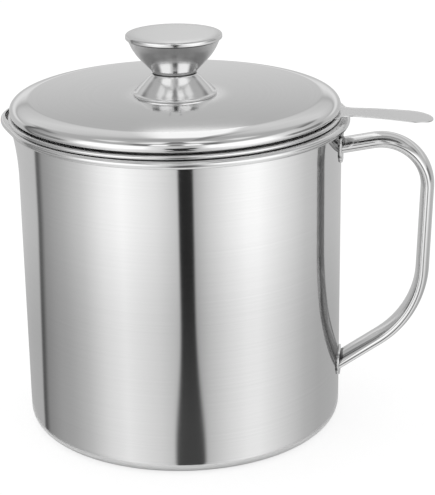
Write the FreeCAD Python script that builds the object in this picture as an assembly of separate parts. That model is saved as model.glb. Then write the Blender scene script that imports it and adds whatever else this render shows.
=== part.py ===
"""Stainless steel grease container: a cup with a pouring lip and a tube handle, a lift-out
strainer with a finger tab, and a lid with a spool-shaped knob.

Millimetres, +Z up.  The origin is the centre of the ring the cup stands on.  The handle and the
strainer's tab point along +X, the pouring lip along -X.  Profiles are drawn in the XZ plane as
(radius, height) and spun about the Z axis, with each round drawn as a few flats.
"""
import FreeCAD
import Part
import math
import os

from FreeCAD import Vector

# ---- cup: drawn from sheet, rim rolled outwards -------------------------------------------------
cup_radius = 60.0           # outside of the straight wall
cup_height = 118.3          # top of the rolled rim
cup_sheet = 0.6
cup_corner = 5.0            # outside radius between wall and base
corner_flats = 2            # flats that draw the corner's round
foot_ring_width = 6.0       # flat ring the cup stands on
base_dish = 1.4             # how far the middle of the base is pushed up
base_dish_slope = 2.5       # plan width of the slope round the dish
rim_roll_width = 3.7        # from the inside of the wall to the outside of the roll
rim_roll_height = 2.8
rim_roll_bevel = 1.0

# ---- pouring lip: a stretch of the rim pulled outwards ------------------------------------------
lip_reach = 3.6             # how far the rim is pulled out at the middle of the lip
lip_half_spread = 27.0      # degrees either side of -X
lip_drop = 21.0             # height of wall that leans out under the rim
lip_lean = 1.7              # power of the lean: 1 is a straight slope, more starts it gently
lip_sections = 15           # sections lofted across the lip
lean_flats = 4              # flats that draw each leaning wall line

# ---- handle: oval tube, two bends, in the XZ plane ----------------------------------------------
handle_width = 13.0         # across the oval, along Y
handle_depth = 5.0          # the oval's thin way
handle_tube_wall = 0.8
handle_flats = 10           # flats that draw the oval's outside
bore_flats = 6              # flats that draw the oval's bore
handle_top_below_rim = 11.8     # rim to the upper arm's centre line at the wall
handle_top_rise = 6.0           # the upper arm's climb to its corner
handle_top_reach = 32.5         # wall to the upper corner
handle_top_bend = 17.0
handle_foot_height = 21.4       # the lower arm's centre line at the wall
handle_foot_rise = 21.2         # the lower arm's climb to its corner
handle_foot_reach = 30.4        # wall to the lower corner
handle_foot_bend = 37.0
handle_end_trim = 6.0           # spare length cut off each end to fit the cup's curve

# ---- handle pads: curved plates between the tube's ends and the wall ----------------------------
pad_sheet = 0.8
pad_width = 14.4
pad_corner = 3.5
upper_pad_above = 5.0       # pad edges measured from the arm's centre line
upper_pad_below = 6.2
lower_pad_above = 4.6
lower_pad_below = 4.2

# ---- strainer: stamped ring with tab, mesh bowl -------------------------------------------------
seat_gap = 0.2              # between pieces that rest on one another and lift apart
strainer_play = 1.9         # gap all round between the collar and the cup's wall
strainer_shift = -1.4       # the strainer and the lid rest this far towards the lip
ring_sheet = 0.5
ring_inset = 1.6            # ring's edge inside the cup's rolled rim
ring_roll_height = 1.5
ring_roll_bevel = 0.6
hem_height = 5.0            # hem that stands up inside the lid's edge
collar_depth = 8.5          # collar below the ring's underside
bowl_depth = 27.0           # mesh bowl below the collar
bowl_floor_radius = 33.0
mesh_sheet = 0.6
mesh_hold = 4.0             # height of the bowl's edge that is fixed to the collar
mesh_pitch = 12.0           # spacing of the floor's square openings
mesh_opening = 9.4
mesh_border = 2.0           # unbroken band round the floor and at both ends of the side openings
side_openings = 16
side_opening_width = 9.5

# ---- strainer tab -------------------------------------------------------------------------------
tab_length = 33.2           # from the ring's edge to the tip
tab_root_half_width = 6.0
tab_root_distance = 2.5     # from the ring's edge to where the root width is taken
tab_taper = 6.0             # degrees each side, wider towards the tip
tab_root_fillet = 5.0
tab_droop = 2.2             # how far the tip hangs below the root
tab_top_below_roll = 0.4    # tab's upper face under the top of the ring's roll

# ---- lid: pressed disc with a sloping shoulder and a rolled edge --------------------------------
lid_sheet = 0.5
lid_hem_clearance = 0.7     # inside of the lid's roll to the outside of the strainer's hem
lid_roll = 2.8              # width and height of the rolled edge
lid_roll_bevel = 0.9
lid_roll_show = 1.5         # width of the roll seen from above, outside the shoulder's crease
lid_roll_rise = 0.25        # top of the roll above the crease
shoulder_angle = 31.5       # degrees below the horizontal
disc_radius = 54.5

# ---- knob: two spun shells back to back, a crimped cap, a screw from below ----------------------
knob_sheet = 0.8
knob_foot_radius = 15.4
knob_foot_height = 1.0      # upright edge round the skirt's foot
knob_waist_radius = 8.4
knob_waist_groove = 0.5     # bevel round the bell's lower edge
knob_skirt_height = 7.9     # lid to the joint at the waist
knob_bell_height = 13.0     # joint to the bell's upper edge
knob_bell_radius = 17.2
cap_radius = 17.9
cap_edge_height = 1.2       # cap's edge, of which the crimp hangs below the bell's rim
cap_crimp = 0.3
cap_crown = 0.9             # middle of the cap above its edge
screw_radius = 2.0
screw_hole_clearance = 0.2
screw_head_radius = 3.8
screw_head_height = 2.4
screw_head_bevel = 1.0
washer_radius = 5.5
washer_sheet = 0.8
insert_radius = 4.0         # corners of the six-sided insert
insert_height = 8.0
screw_end_margin = 1.5      # screw stops this far short of the insert's end

# ---- heights and radii that follow from the values above ----------------------------------------
origin = Vector(0, 0, 0)
up = Vector(0, 0, 1)
cup_inner_radius = cup_radius - cup_sheet
lip_start_height = cup_height - lip_drop
roll_bottom = cup_height - rim_roll_height
rim_outer_radius = cup_inner_radius + rim_roll_width

handle_top_height = cup_height - handle_top_below_rim
pad_outer_radius = cup_radius + pad_sheet

ring_bottom = cup_height + seat_gap
ring_radius = rim_outer_radius - ring_inset
ring_top = ring_bottom + ring_roll_height
collar_radius = cup_inner_radius - strainer_play
collar_inner_radius = collar_radius - ring_sheet
collar_bottom = ring_bottom - collar_depth
bowl_bottom = collar_bottom - bowl_depth
hem_top = ring_bottom + hem_height

lid_roll_inner_radius = collar_radius + lid_hem_clearance
lid_radius = lid_roll_inner_radius + lid_roll
shoulder_slope = math.tan(math.radians(shoulder_angle))
shoulder_height = hem_top + seat_gap + lid_sheet / math.cos(math.radians(shoulder_angle))
lid_top = shoulder_height + (collar_radius - disc_radius) * shoulder_slope
lid_underside = lid_top - lid_sheet
screw_hole_radius = screw_radius + screw_hole_clearance

waist_height = lid_top + knob_skirt_height
bell_top = waist_height + knob_bell_height
cap_bottom = bell_top - cap_crimp


# ---- drawing helpers ----------------------------------------------------------------------------
def at(radius, height):
    """Point of a profile in the XZ plane."""
    return Vector(radius, 0, height)


def line(start, end):
    """Straight edge."""
    return Part.makeLine(start, end)


def arc(start, middle, end):
    """Circular edge through three points."""
    return Part.Arc(start, middle, end).toShape()


def closed_run(points):
    """Wire of straight edges from each point to the next and back to the first."""
    return Part.Wire([line(start, end) for start, end in zip(points, points[1:] + points[:1])])


def outline(points):
    """Flat face inside a closed run of points."""
    return Part.Face(closed_run(points))


def cup_corner_points():
    """Points round the cup's corner, from the foot ring up to the wall."""
    foot_outer = cup_radius - cup_corner
    angles = [math.pi / 2 * step / corner_flats for step in range(corner_flats + 1)]
    return [at(foot_outer + cup_corner * math.sin(a), cup_corner * (1 - math.cos(a))) for a in angles]


def rounded_path(corners):
    """Edges of straight runs through corners (point, radius), joined by tangent arcs."""
    edges = []
    start = corners[0][0]
    for index in range(1, len(corners) - 1):
        corner, radius = corners[index]
        back = (corners[index - 1][0] - corner).normalize()
        ahead = (corners[index + 1][0] - corner).normalize()
        half_angle = back.getAngle(ahead) / 2
        run = radius / math.tan(half_angle)
        inward = (back + ahead).normalize()
        middle = corner + inward * (radius / math.sin(half_angle) - radius)
        edges.append(line(start, corner + back * run))
        edges.append(arc(corner + back * run, middle, corner + ahead * run))
        start = corner + ahead * run
    edges.append(line(start, corners[-1][0]))
    return edges


def beside(points, distance):
    """Path that runs `distance` to the right of an XZ path, with mitred corners."""
    headings = [(end - start).normalize() for start, end in zip(points, points[1:])]
    rights = [Vector(heading.z, 0, -heading.x) for heading in headings]
    moved = [points[0] + rights[0] * distance]
    for point, before, after in zip(points[1:-1], rights, rights[1:]):
        moved.append(point + (before + after) * (distance / (1 + before.dot(after))))
    moved.append(points[-1] + rights[-1] * distance)
    return moved


def sheet(points, thickness):
    """Face of sheet metal beside a path, to its right where the thickness is above zero."""
    return outline(points + beside(points, thickness)[::-1])


def spin(profile, degrees=360.0):
    """Solid of revolution about the Z axis."""
    return profile.revolve(origin, up, degrees)


def ring_between(inner_radius, outer_radius, bottom, top):
    """Plain ring about the Z axis."""
    outer = Part.makeCylinder(outer_radius, top - bottom, at(0, bottom))
    return outer.cut(Part.makeCylinder(inner_radius, top - bottom, at(0, bottom)))


# ---- cup ----------------------------------------------------------------------------------------
def cup_base():
    """Dished base, foot ring and the straight wall below the pouring lip."""
    foot_inner = cup_radius - cup_corner - foot_ring_width
    outside = [at(0, base_dish), at(foot_inner - base_dish_slope, base_dish), at(foot_inner, 0)]
    outside += cup_corner_points()
    outside.append(at(cup_radius, lip_start_height))
    return spin(sheet(outside, -cup_sheet))


def rim_points(pull):
    """Points round the rolled rim from the wall's outside to its top edge, moved out by `pull`."""
    outer = rim_outer_radius + pull
    return [
        at(cup_radius + pull, roll_bottom),
        at(outer, roll_bottom + rim_roll_bevel),
        at(outer, cup_height - rim_roll_bevel),
        at(outer - rim_roll_bevel, cup_height),
        at(cup_inner_radius + pull, cup_height),
    ]


def plain_rim():
    """Upper wall and rolled rim all round, apart from the pouring lip."""
    foot = [at(cup_inner_radius, lip_start_height), at(cup_radius, lip_start_height)]
    rim = spin(outline(foot + rim_points(0.0)), 360.0 - 2 * lip_half_spread)
    rim.rotate(origin, up, 180.0 + lip_half_spread)
    return rim


def leaning_points(radius, pull):
    """Points up a wall line that leans out by `pull` over the height of the pouring lip."""
    shares = [step / lean_flats for step in range(lean_flats + 1)]
    rise = roll_bottom - lip_start_height
    return [at(radius + pull * share ** lip_lean, lip_start_height + rise * share) for share in shares]


def lip_section(pull):
    """Closed section of the leaning wall and its rolled rim."""
    outside = leaning_points(cup_radius, pull)
    inside = leaning_points(cup_inner_radius, pull)
    return closed_run(outside + rim_points(pull)[1:] + inside[::-1])


def pouring_lip():
    """Loft of rim sections round -X, pulled out most in the middle and not at all at the ends."""
    sections = []
    for index in range(lip_sections):
        share = 2.0 * index / (lip_sections - 1) - 1.0
        section = lip_section(lip_reach * math.cos(share * math.pi / 2) ** 2)
        section.rotate(origin, up, 180.0 + share * lip_half_spread)
        sections.append(section)
    return Part.makeLoft(sections, True, True)


def cup_shell():
    """Drawn cup with its dished base, rolled rim and pouring lip, in one piece."""
    return cup_base().fuse([plain_rim(), pouring_lip()]).removeSplitter()


# ---- handle -------------------------------------------------------------------------------------
def handle_corners():
    """Corners of the handle's centre line, from the upper joint round to the lower one."""
    top_joint = at(cup_radius, handle_top_height)
    top_corner = at(cup_radius + handle_top_reach, handle_top_height + handle_top_rise)
    foot_corner = at(cup_radius + handle_foot_reach, handle_foot_height + handle_foot_rise)
    foot_joint = at(cup_radius, handle_foot_height)
    start = top_joint + (top_joint - top_corner).normalize() * handle_end_trim
    end = foot_joint + (foot_joint - foot_corner).normalize() * handle_end_trim
    return [(start, 0.0), (top_corner, handle_top_bend), (foot_corner, handle_foot_bend), (end, 0.0)]


def oval_bar(width, depth, turns):
    """Solid bar along the handle's centre line, its oval section drawn with a corner at each turn."""
    corners = handle_corners()
    start = corners[0][0]
    heading = (corners[1][0] - start).normalize()
    across = Vector(0, width / 2, 0)
    through = heading.cross(Vector(0, 1, 0)) * (depth / 2)
    widest = max(math.cos(turn) for turn in turns)
    deepest = max(math.sin(turn) for turn in turns)
    points = [start + across * (math.cos(t) / widest) + through * (math.sin(t) / deepest) for t in turns]
    return Part.Wire(rounded_path(corners)).makePipeShell([closed_run(points)], True, False)


def handle_tube():
    """Hollow oval tube, its ends coped to the curve of the pads."""
    bore_width = handle_width - 2 * handle_tube_wall
    bore_depth = handle_depth - 2 * handle_tube_wall
    bar_turns = [2 * math.pi * step / handle_flats for step in range(handle_flats)]
    bore_turns = [2 * math.pi * step / bore_flats for step in range(bore_flats)]
    bar = oval_bar(handle_width, handle_depth, bar_turns)
    tube = bar.cut(oval_bar(bore_width, bore_depth, bore_turns))
    return tube.cut(Part.makeCylinder(pad_outer_radius, cup_height))


def handle_pad(bottom, top):
    """Round-cornered plate bent to the cup's wall on the +X side."""
    half_cup = cup_radius / 2
    blank = Part.makeBox(cup_radius, pad_width, top - bottom, Vector(half_cup, -pad_width / 2, bottom))
    corners = [edge for edge in blank.Edges if edge.BoundBox.XLength > half_cup]
    blank = blank.makeFillet(pad_corner, corners)
    return blank.common(ring_between(cup_radius, pad_outer_radius, bottom, top))


def handle_upper_plate():
    """Pad under the rim that carries the handle's upper end."""
    return handle_pad(handle_top_height - upper_pad_below, handle_top_height + upper_pad_above)


def handle_lower_plate():
    """Pad low on the wall that carries the handle's lower end."""
    return handle_pad(handle_foot_height - lower_pad_below, handle_foot_height + lower_pad_above)


# ---- strainer -----------------------------------------------------------------------------------
def strainer_ring():
    """Collar, upstanding hem and rolled edge, about the Z axis."""
    roll_middle = ring_bottom + ring_roll_height / 2
    return spin(outline([
        at(collar_inner_radius, collar_bottom),
        at(collar_radius, collar_bottom),
        at(collar_radius, ring_bottom),
        at(ring_radius - ring_roll_bevel, ring_bottom),
        at(ring_radius, roll_middle),
        at(ring_radius - ring_roll_bevel, ring_top),
        at(collar_radius, ring_top),
        at(collar_radius, hem_top),
        at(collar_inner_radius, hem_top),
    ]))


def tab_plan():
    """Plan of the tab: flared root, sides that widen outwards, round tip."""
    taper = math.radians(tab_taper)
    side = Vector(math.cos(taper), math.sin(taper), 0)
    normal = Vector(-math.sin(taper), math.cos(taper), 0)
    root = Vector(ring_radius + tab_root_distance, tab_root_half_width, 0)
    offset = normal.dot(root)
    spread = offset + tab_root_fillet
    reach = math.sqrt((ring_radius + tab_root_fillet) ** 2 - spread ** 2)
    fillet_centre = normal * spread + side * reach
    ring_touch = fillet_centre * (ring_radius / (ring_radius + tab_root_fillet))
    side_touch = fillet_centre - normal * tab_root_fillet
    bisector = (ring_touch + side_touch - fillet_centre * 2).normalize()
    fillet_middle = fillet_centre + bisector * tab_root_fillet
    tip = ring_radius + tab_length
    tip_centre_x = (tip - offset) / (1 + math.sin(taper))
    tip_touch = Vector(tip_centre_x, 0, 0) + normal * (tip - tip_centre_x)

    def mirrored(spot):
        return Vector(spot.x, -spot.y, 0)

    inside = Vector(collar_radius, ring_touch.y, 0)
    edges = [
        line(inside, ring_touch),
        arc(ring_touch, fillet_middle, side_touch),
        line(side_touch, tip_touch),
        arc(tip_touch, Vector(tip, 0, 0), mirrored(tip_touch)),
        line(mirrored(tip_touch), mirrored(side_touch)),
        arc(mirrored(side_touch), mirrored(fillet_middle), mirrored(ring_touch)),
        line(mirrored(ring_touch), mirrored(inside)),
        line(mirrored(inside), inside),
    ]
    return Part.Face(Part.Wire(edges))


def strainer_tab():
    """Flat tab on the ring's edge, bent gently down towards its tip."""
    top = ring_top - tab_top_below_roll
    length = ring_radius + tab_length - collar_radius
    bend = (length ** 2 + tab_droop ** 2) / (2 * tab_droop)
    curve = ring_between(bend - ring_sheet, bend, 0, 2 * ring_radius)
    curve.rotate(origin, Vector(1, 0, 0), 90)
    curve.translate(Vector(collar_radius, ring_radius, top - bend))
    plan = tab_plan()
    plan.translate(at(0, collar_bottom))
    return curve.common(plan.extrude(up * (hem_top - collar_bottom)))


def strainer_rim():
    """Stamped ring with its finger tab."""
    return strainer_ring().fuse(strainer_tab())


def floor_openings():
    """Square cutters on a grid, all inside the bowl's flat floor."""
    half = mesh_opening / 2
    count = int(bowl_floor_radius / mesh_pitch)
    steps = [step * mesh_pitch for step in range(-count, count + 1)]
    spots = [(x, y) for x in steps for y in steps
             if math.hypot(abs(x) + half, abs(y) + half) < bowl_floor_radius - mesh_border]
    low = bowl_bottom - mesh_sheet
    return [Part.makeBox(mesh_opening, mesh_opening, 3 * mesh_sheet, Vector(x - half, y - half, low))
            for x, y in spots]


def wall_openings():
    """Upright cutters in a ring, between the bowl's floor and the collar."""
    start = bowl_floor_radius + mesh_border
    length = collar_inner_radius - mesh_border - start
    corner = Vector(start, -side_opening_width / 2, bowl_bottom)
    cutter = Part.makeBox(length, side_opening_width, bowl_depth, corner)
    cutters = []
    for index in range(side_openings):
        turned = cutter.copy()
        turned.rotate(origin, up, 360.0 * index / side_openings)
        cutters.append(turned)
    return cutters


def strainer_mesh():
    """Mesh bowl: flat floor and sloping side, both open, and an upright edge fixed to the collar."""
    bowl = spin(sheet([
        at(collar_inner_radius, collar_bottom + mesh_hold),
        at(collar_inner_radius, collar_bottom),
        at(bowl_floor_radius, bowl_bottom),
        at(0, bowl_bottom),
    ], mesh_sheet))
    return bowl.cut(floor_openings() + wall_openings())


# ---- lid ----------------------------------------------------------------------------------------
def lid_shell():
    """Pressed lid: flat disc with the screw's hole, sloping shoulder, rolled edge."""
    crease_radius = lid_radius - lid_roll_show
    crease_height = lid_top - (crease_radius - disc_radius) * shoulder_slope
    roll_top = crease_height + lid_roll_rise
    roll_foot = roll_top - lid_roll
    pressed = [at(screw_hole_radius, lid_top), at(disc_radius, lid_top), at(crease_radius, crease_height)]
    disc_start, disc_end, shoulder_end = beside(pressed, lid_sheet)
    inner_slope = (lid_roll_inner_radius - disc_end.x) * shoulder_slope
    return spin(outline(pressed + [
        at(lid_radius - lid_roll_bevel, roll_top),
        at(lid_radius, roll_top - lid_roll_bevel),
        at(lid_radius, roll_foot + lid_roll_bevel),
        at(lid_radius - lid_roll_bevel, roll_foot),
        at(lid_roll_inner_radius, roll_foot),
        at(lid_roll_inner_radius, disc_end.z - inner_slope),
        disc_end,
        disc_start,
    ]))


# ---- knob ---------------------------------------------------------------------------------------
def knob_skirt():
    """Lower cone of the knob, flat on top, standing on the lid."""
    outside = [
        at(screw_hole_radius, waist_height),
        at(knob_waist_radius, waist_height),
        at(knob_foot_radius, lid_top + knob_foot_height),
        at(knob_foot_radius, lid_top),
    ]
    return spin(sheet(outside, knob_sheet))


def knob_bell():
    """Upper shell of the knob, its lower outside edge bevelled to leave a groove at the waist."""
    outside = [
        at(screw_hole_radius, waist_height),
        at(knob_waist_radius - knob_waist_groove, waist_height),
        at(knob_waist_radius, waist_height + knob_waist_groove),
        at(knob_bell_radius, bell_top),
    ]
    inside = beside(outside, -knob_sheet)
    side = outside[-1] - outside[-2]
    inside[-1] = at(knob_bell_radius - knob_sheet * side.Length / side.z, bell_top)
    return spin(outline(outside + inside[::-1]))


def knob_cap():
    """Crowned cap crimped over the bell's rim."""
    edge_top = cap_bottom + cap_edge_height
    return spin(outline([
        at(0, bell_top),
        at(knob_bell_radius, bell_top),
        at(knob_bell_radius, cap_bottom),
        at(cap_radius, cap_bottom),
        at(cap_radius, edge_top - cap_crimp),
        at(cap_radius - cap_crimp, edge_top),
        at(0, edge_top + cap_crown),
    ]))


def knob_insert():
    """Six-sided threaded bush fixed inside the bell."""
    bottom = waist_height + knob_sheet
    turns = [math.radians(60.0 * side) for side in range(6)]
    corners = [Vector(insert_radius * math.cos(t), insert_radius * math.sin(t), bottom) for t in turns]
    bush = outline(corners).extrude(up * insert_height)
    return bush.cut(Part.makeCylinder(screw_radius, insert_height, at(0, bottom)))


def knob_screw():
    """Round-headed screw from under the lid into the insert."""
    head_top = lid_underside - washer_sheet
    head_bottom = head_top - screw_head_height
    tip = waist_height + knob_sheet + insert_height - screw_end_margin
    return spin(outline([
        at(0, head_bottom),
        at(screw_head_radius - screw_head_bevel, head_bottom),
        at(screw_head_radius, head_bottom + screw_head_bevel),
        at(screw_head_radius, head_top),
        at(screw_radius, head_top),
        at(screw_radius, tip),
        at(0, tip),
    ]))


def knob_washer():
    """Flat washer between the screw's head and the lid."""
    return ring_between(screw_hole_radius, washer_radius, lid_underside - washer_sheet, lid_underside)


# ---- build --------------------------------------------------------------------------------------
fixed_pieces = [cup_shell, handle_tube, handle_upper_plate, handle_lower_plate]
lift_out_pieces = [
    strainer_rim, strainer_mesh,
    lid_shell, knob_skirt, knob_bell, knob_cap, knob_insert, knob_screw, knob_washer,
]


def export_all():
    """Build each piece and write it to its own STEP file."""
    os.makedirs("parts", exist_ok=True)
    for make in fixed_pieces + lift_out_pieces:
        shape = make()
        if make in lift_out_pieces:
            shape.translate(at(strainer_shift, 0))
        shape.exportStep(os.path.join("parts", make.__name__ + ".step"))


export_all()
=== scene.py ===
"""Stainless steel grease container: a cup with a pouring lip and a tube handle, a lift-out mesh
strainer with a finger tab, and a lid with a spool-shaped knob.

Shapes are worked out in millimetres as numpy surfaces and put into their meshes in metres, in the
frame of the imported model: +Z up, +X towards the handle and the tab, -X towards the pouring lip.
"""

import logging
from dataclasses import dataclass, field
from enum import Enum
from typing import Callable, Optional, Sequence, Union

import bpy
import numpy as np
from mathutils import Matrix


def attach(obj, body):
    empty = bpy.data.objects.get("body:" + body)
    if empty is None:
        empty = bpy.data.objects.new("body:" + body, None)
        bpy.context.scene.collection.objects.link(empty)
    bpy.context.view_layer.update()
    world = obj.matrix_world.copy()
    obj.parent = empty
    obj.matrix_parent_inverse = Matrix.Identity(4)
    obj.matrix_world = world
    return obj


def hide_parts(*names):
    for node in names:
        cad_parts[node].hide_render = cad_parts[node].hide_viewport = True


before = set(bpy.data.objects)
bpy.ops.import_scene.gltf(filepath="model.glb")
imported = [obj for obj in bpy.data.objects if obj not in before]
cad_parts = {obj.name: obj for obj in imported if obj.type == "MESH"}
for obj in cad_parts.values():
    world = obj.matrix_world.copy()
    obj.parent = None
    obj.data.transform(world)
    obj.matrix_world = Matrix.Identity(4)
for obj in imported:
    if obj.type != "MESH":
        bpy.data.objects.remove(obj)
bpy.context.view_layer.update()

log = logging.getLogger("grease_container")

MM = 0.001
TURN = 2 * np.pi
SHARP_ANGLE = np.radians(38.0)      # edges that turn more than this stay sharp
AXIS_SHIFT = -1.4                   # the strainer and the lid rest this far towards the lip

Pull = Callable[[np.ndarray, np.ndarray], np.ndarray]
Feed = Union[float, bpy.types.NodeSocket]


# ---- surfaces -----------------------------------------------------------------------------------
@dataclass
class Surface:
    """Points in millimetres with the quads and triangles that join them, facing outwards."""

    points: np.ndarray
    quads: np.ndarray
    triangles: np.ndarray

    def moved(self, x: float) -> "Surface":
        """The same surface moved along X."""
        return Surface(self.points + np.array([x, 0.0, 0.0]), self.quads, self.triangles)

    def quad_radii(self) -> np.ndarray:
        """Distance of each quad's middle from the Z axis."""
        return np.hypot(*np.moveaxis(self.points[self.quads, :2].mean(axis=1), 1, 0))


def no_faces(corners: int) -> np.ndarray:
    """An empty table of faces with that many corners each."""
    return np.zeros((0, corners), int)


def joined(surfaces: Sequence[Surface]) -> Surface:
    """Several surfaces as one, each kept closed in itself.

    Args:
        surfaces: the surfaces to put together.

    Returns:
        One surface whose face tables count through all the points.
    """
    starts = np.cumsum([0] + [len(s.points) for s in surfaces[:-1]])
    return Surface(
        np.concatenate([s.points for s in surfaces]),
        np.concatenate([s.quads + start for s, start in zip(surfaces, starts)]),
        np.concatenate([s.triangles + start for s, start in zip(surfaces, starts)]),
    )


def wrap_quads(rows: np.ndarray, loop: bool) -> np.ndarray:
    """Quads between rows of points that each run once round.

    Args:
        rows: point numbers, one row for each place along the profile.
        loop: whether the last row joins the first.

    Returns:
        Quads that face outwards when the profile runs up the outside.
    """
    low, high = (rows, np.roll(rows, -1, axis=0)) if loop else (rows[:-1], rows[1:])
    corners = [low, np.roll(low, -1, axis=1), np.roll(high, -1, axis=1), high]
    return np.stack(corners, axis=-1).reshape(-1, 4)


def closed_grid(grid: np.ndarray, loop: bool) -> Surface:
    """Closed surface over a grid of points, rows along a profile and columns once round.

    Args:
        grid: points, shaped rows by columns by 3.
        loop: True joins the last row to the first; False gathers each end row to one pole.

    Returns:
        The closed surface.
    """
    rows, columns = grid.shape[:2]
    numbers = np.arange(rows * columns).reshape(rows, columns)
    points = grid.reshape(-1, 3)
    if loop:
        return Surface(points, wrap_quads(numbers, True), no_faces(3))
    poles = np.stack([grid[0].mean(axis=0), grid[-1].mean(axis=0)])
    low = np.full(columns, len(points))
    high = np.full(columns, len(points) + 1)
    fans = [
        np.stack([low, np.roll(numbers[0], -1), numbers[0]], axis=-1),
        np.stack([numbers[-1], np.roll(numbers[-1], -1), high], axis=-1),
    ]
    return Surface(np.concatenate([points, poles]), wrap_quads(numbers, False), np.concatenate(fans))


def rounded(corners: Sequence[tuple], loop: bool = False, arc_step: float = 9.0) -> np.ndarray:
    """Path through corners, each rounded by a tangent arc.

    A corner (u, v, rounding) turns the path by an angle; its arc has that radius and touches both
    runs at radius times the tangent of half the angle from the corner.

    Args:
        corners: (u, v) or (u, v, rounding) in millimetres, in order.
        loop: whether the path closes on itself.
        arc_step: degrees between the points of an arc.

    Returns:
        Points of the path, one row each.
    """
    spots = np.array([corner[:2] for corner in corners], float)
    radii = [corner[2] if len(corner) > 2 else 0.0 for corner in corners]
    pieces = []
    for index, (spot, radius) in enumerate(zip(spots, radii)):
        at_end = not loop and index in (0, len(spots) - 1)
        if at_end or radius == 0.0:
            pieces.append(spot[None])
            continue
        back = spots[index - 1] - spot
        ahead = spots[(index + 1) % len(spots)] - spot
        back = back / np.linalg.norm(back)
        ahead = ahead / np.linalg.norm(ahead)
        half = np.arccos(np.clip(back @ ahead, -1.0, 1.0)) / 2
        centre = spot + (back + ahead) / np.linalg.norm(back + ahead) * radius / np.sin(half)
        first = spot + back * radius / np.tan(half) - centre
        last = spot + ahead * radius / np.tan(half) - centre
        turn = np.pi - 2 * half
        steps = max(2, int(np.ceil(np.degrees(turn) / arc_step)))
        share = np.linspace(0.0, 1.0, steps + 1)[:, None]
        arc = (np.sin((1 - share) * turn) * first + np.sin(share * turn) * last) / np.sin(turn)
        pieces.append(centre + arc)
    return np.concatenate(pieces)


def refined(path: np.ndarray, longest: float, loop: bool = False, hold: float = 0.12) -> np.ndarray:
    """Path with long runs divided, and a point close to each end of a run to hold its direction.

    Args:
        path: points of the path.
        longest: longest run left, in millimetres.
        loop: whether the path closes on itself.
        hold: distance of the holding points from the run's ends.

    Returns:
        Points of the finer path.
    """
    ends = np.roll(path, -1, axis=0) if loop else path[1:]
    starts = path if loop else path[:-1]
    runs = []
    for start, end in zip(starts, ends):
        length = np.linalg.norm(end - start)
        shares = np.linspace(0.0, 1.0, max(1, int(np.ceil(length / longest))) + 1)[:-1]
        if length > 6 * hold:
            shares = np.unique(np.concatenate([shares, [hold / length, 1 - hold / length]]))
        runs.append(start + (end - start) * shares[:, None])
    if not loop:
        runs.append(path[-1:])
    return np.concatenate(runs)


def smooth_through(points: Sequence[tuple], steps: int = 8) -> np.ndarray:
    """Smooth curve through points: each stretch is a cubic whose end slopes follow its neighbours.

    Args:
        points: (u, v) in millimetres.
        steps: pieces for each stretch.

    Returns:
        Points of the curve.
    """
    spots = np.array(points, float)
    before = np.concatenate([2 * spots[:1] - spots[1:2], spots[:-1]])
    after = np.concatenate([spots[1:], 2 * spots[-1:] - spots[-2:-1]])
    slopes = (after - before) / 2
    share = np.linspace(0.0, 1.0, steps, endpoint=False)[None, :, None]
    square, cube = share**2, share**3
    start, end = spots[:-1, None], spots[1:, None]
    curve = (2 * cube - 3 * square + 1) * start + (cube - 2 * square + share) * slopes[:-1, None]
    curve = curve + (3 * square - 2 * cube) * end + (cube - square) * slopes[1:, None]
    return np.concatenate([curve.reshape(-1, 2), spots[-1:]])


def spun(profile: np.ndarray, columns: int, loop: bool, pull: Optional[Pull] = None) -> Surface:
    """Surface of revolution about Z: (radius, height) at an angle goes to (r cos, r sin, z).

    Args:
        profile: (radius, height) points, up the outside.
        columns: points once round.
        loop: whether the profile is a closed loop; otherwise its ends are closed on the axis.
        pull: how far a point moves outwards, from its angle and its height.

    Returns:
        The closed surface.
    """
    angle = np.arange(columns) * TURN / columns
    radius = np.repeat(profile[:, :1], columns, axis=1)
    height = np.repeat(profile[:, 1:], columns, axis=1)
    if pull is not None:
        radius = radius + pull(np.broadcast_to(angle, radius.shape), height)
    grid = np.stack([radius * np.cos(angle), radius * np.sin(angle), height], axis=-1)
    return closed_grid(grid, loop)


def hexagon_pull(profile: np.ndarray, six_sided: np.ndarray) -> Pull:
    """Pull that carries some rows of a spun surface from a round line out to a hexagon.

    At an angle from the middle of a flat, a hexagon's side lies at half its width over the cosine.

    Args:
        profile: (radius, height) points; a radius is half the width across flats.
        six_sided: which rows are six-sided.

    Returns:
        The pull, for spun.
    """
    half_width = (profile[:, 0] * six_sided)[:, None]

    def pull(angle: np.ndarray, height: np.ndarray) -> np.ndarray:
        """Half the width over the cosine, less half the width."""
        from_flat = np.mod(angle, TURN / 6) - TURN / 12
        return half_width * (1.0 / np.cos(from_flat) - 1.0)

    return pull


# ---- finishes -----------------------------------------------------------------------------------
class Grain(Enum):
    """Which way the fine lines of a finish run."""

    ROUND_WALL = "round_wall"       # round an upright wall, one above the other
    ROUND_DISC = "round_disc"       # rings about the axis, one outside the other
    CROSSED = "crossed"             # no one way, as on tumbled or drawn metal


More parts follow.
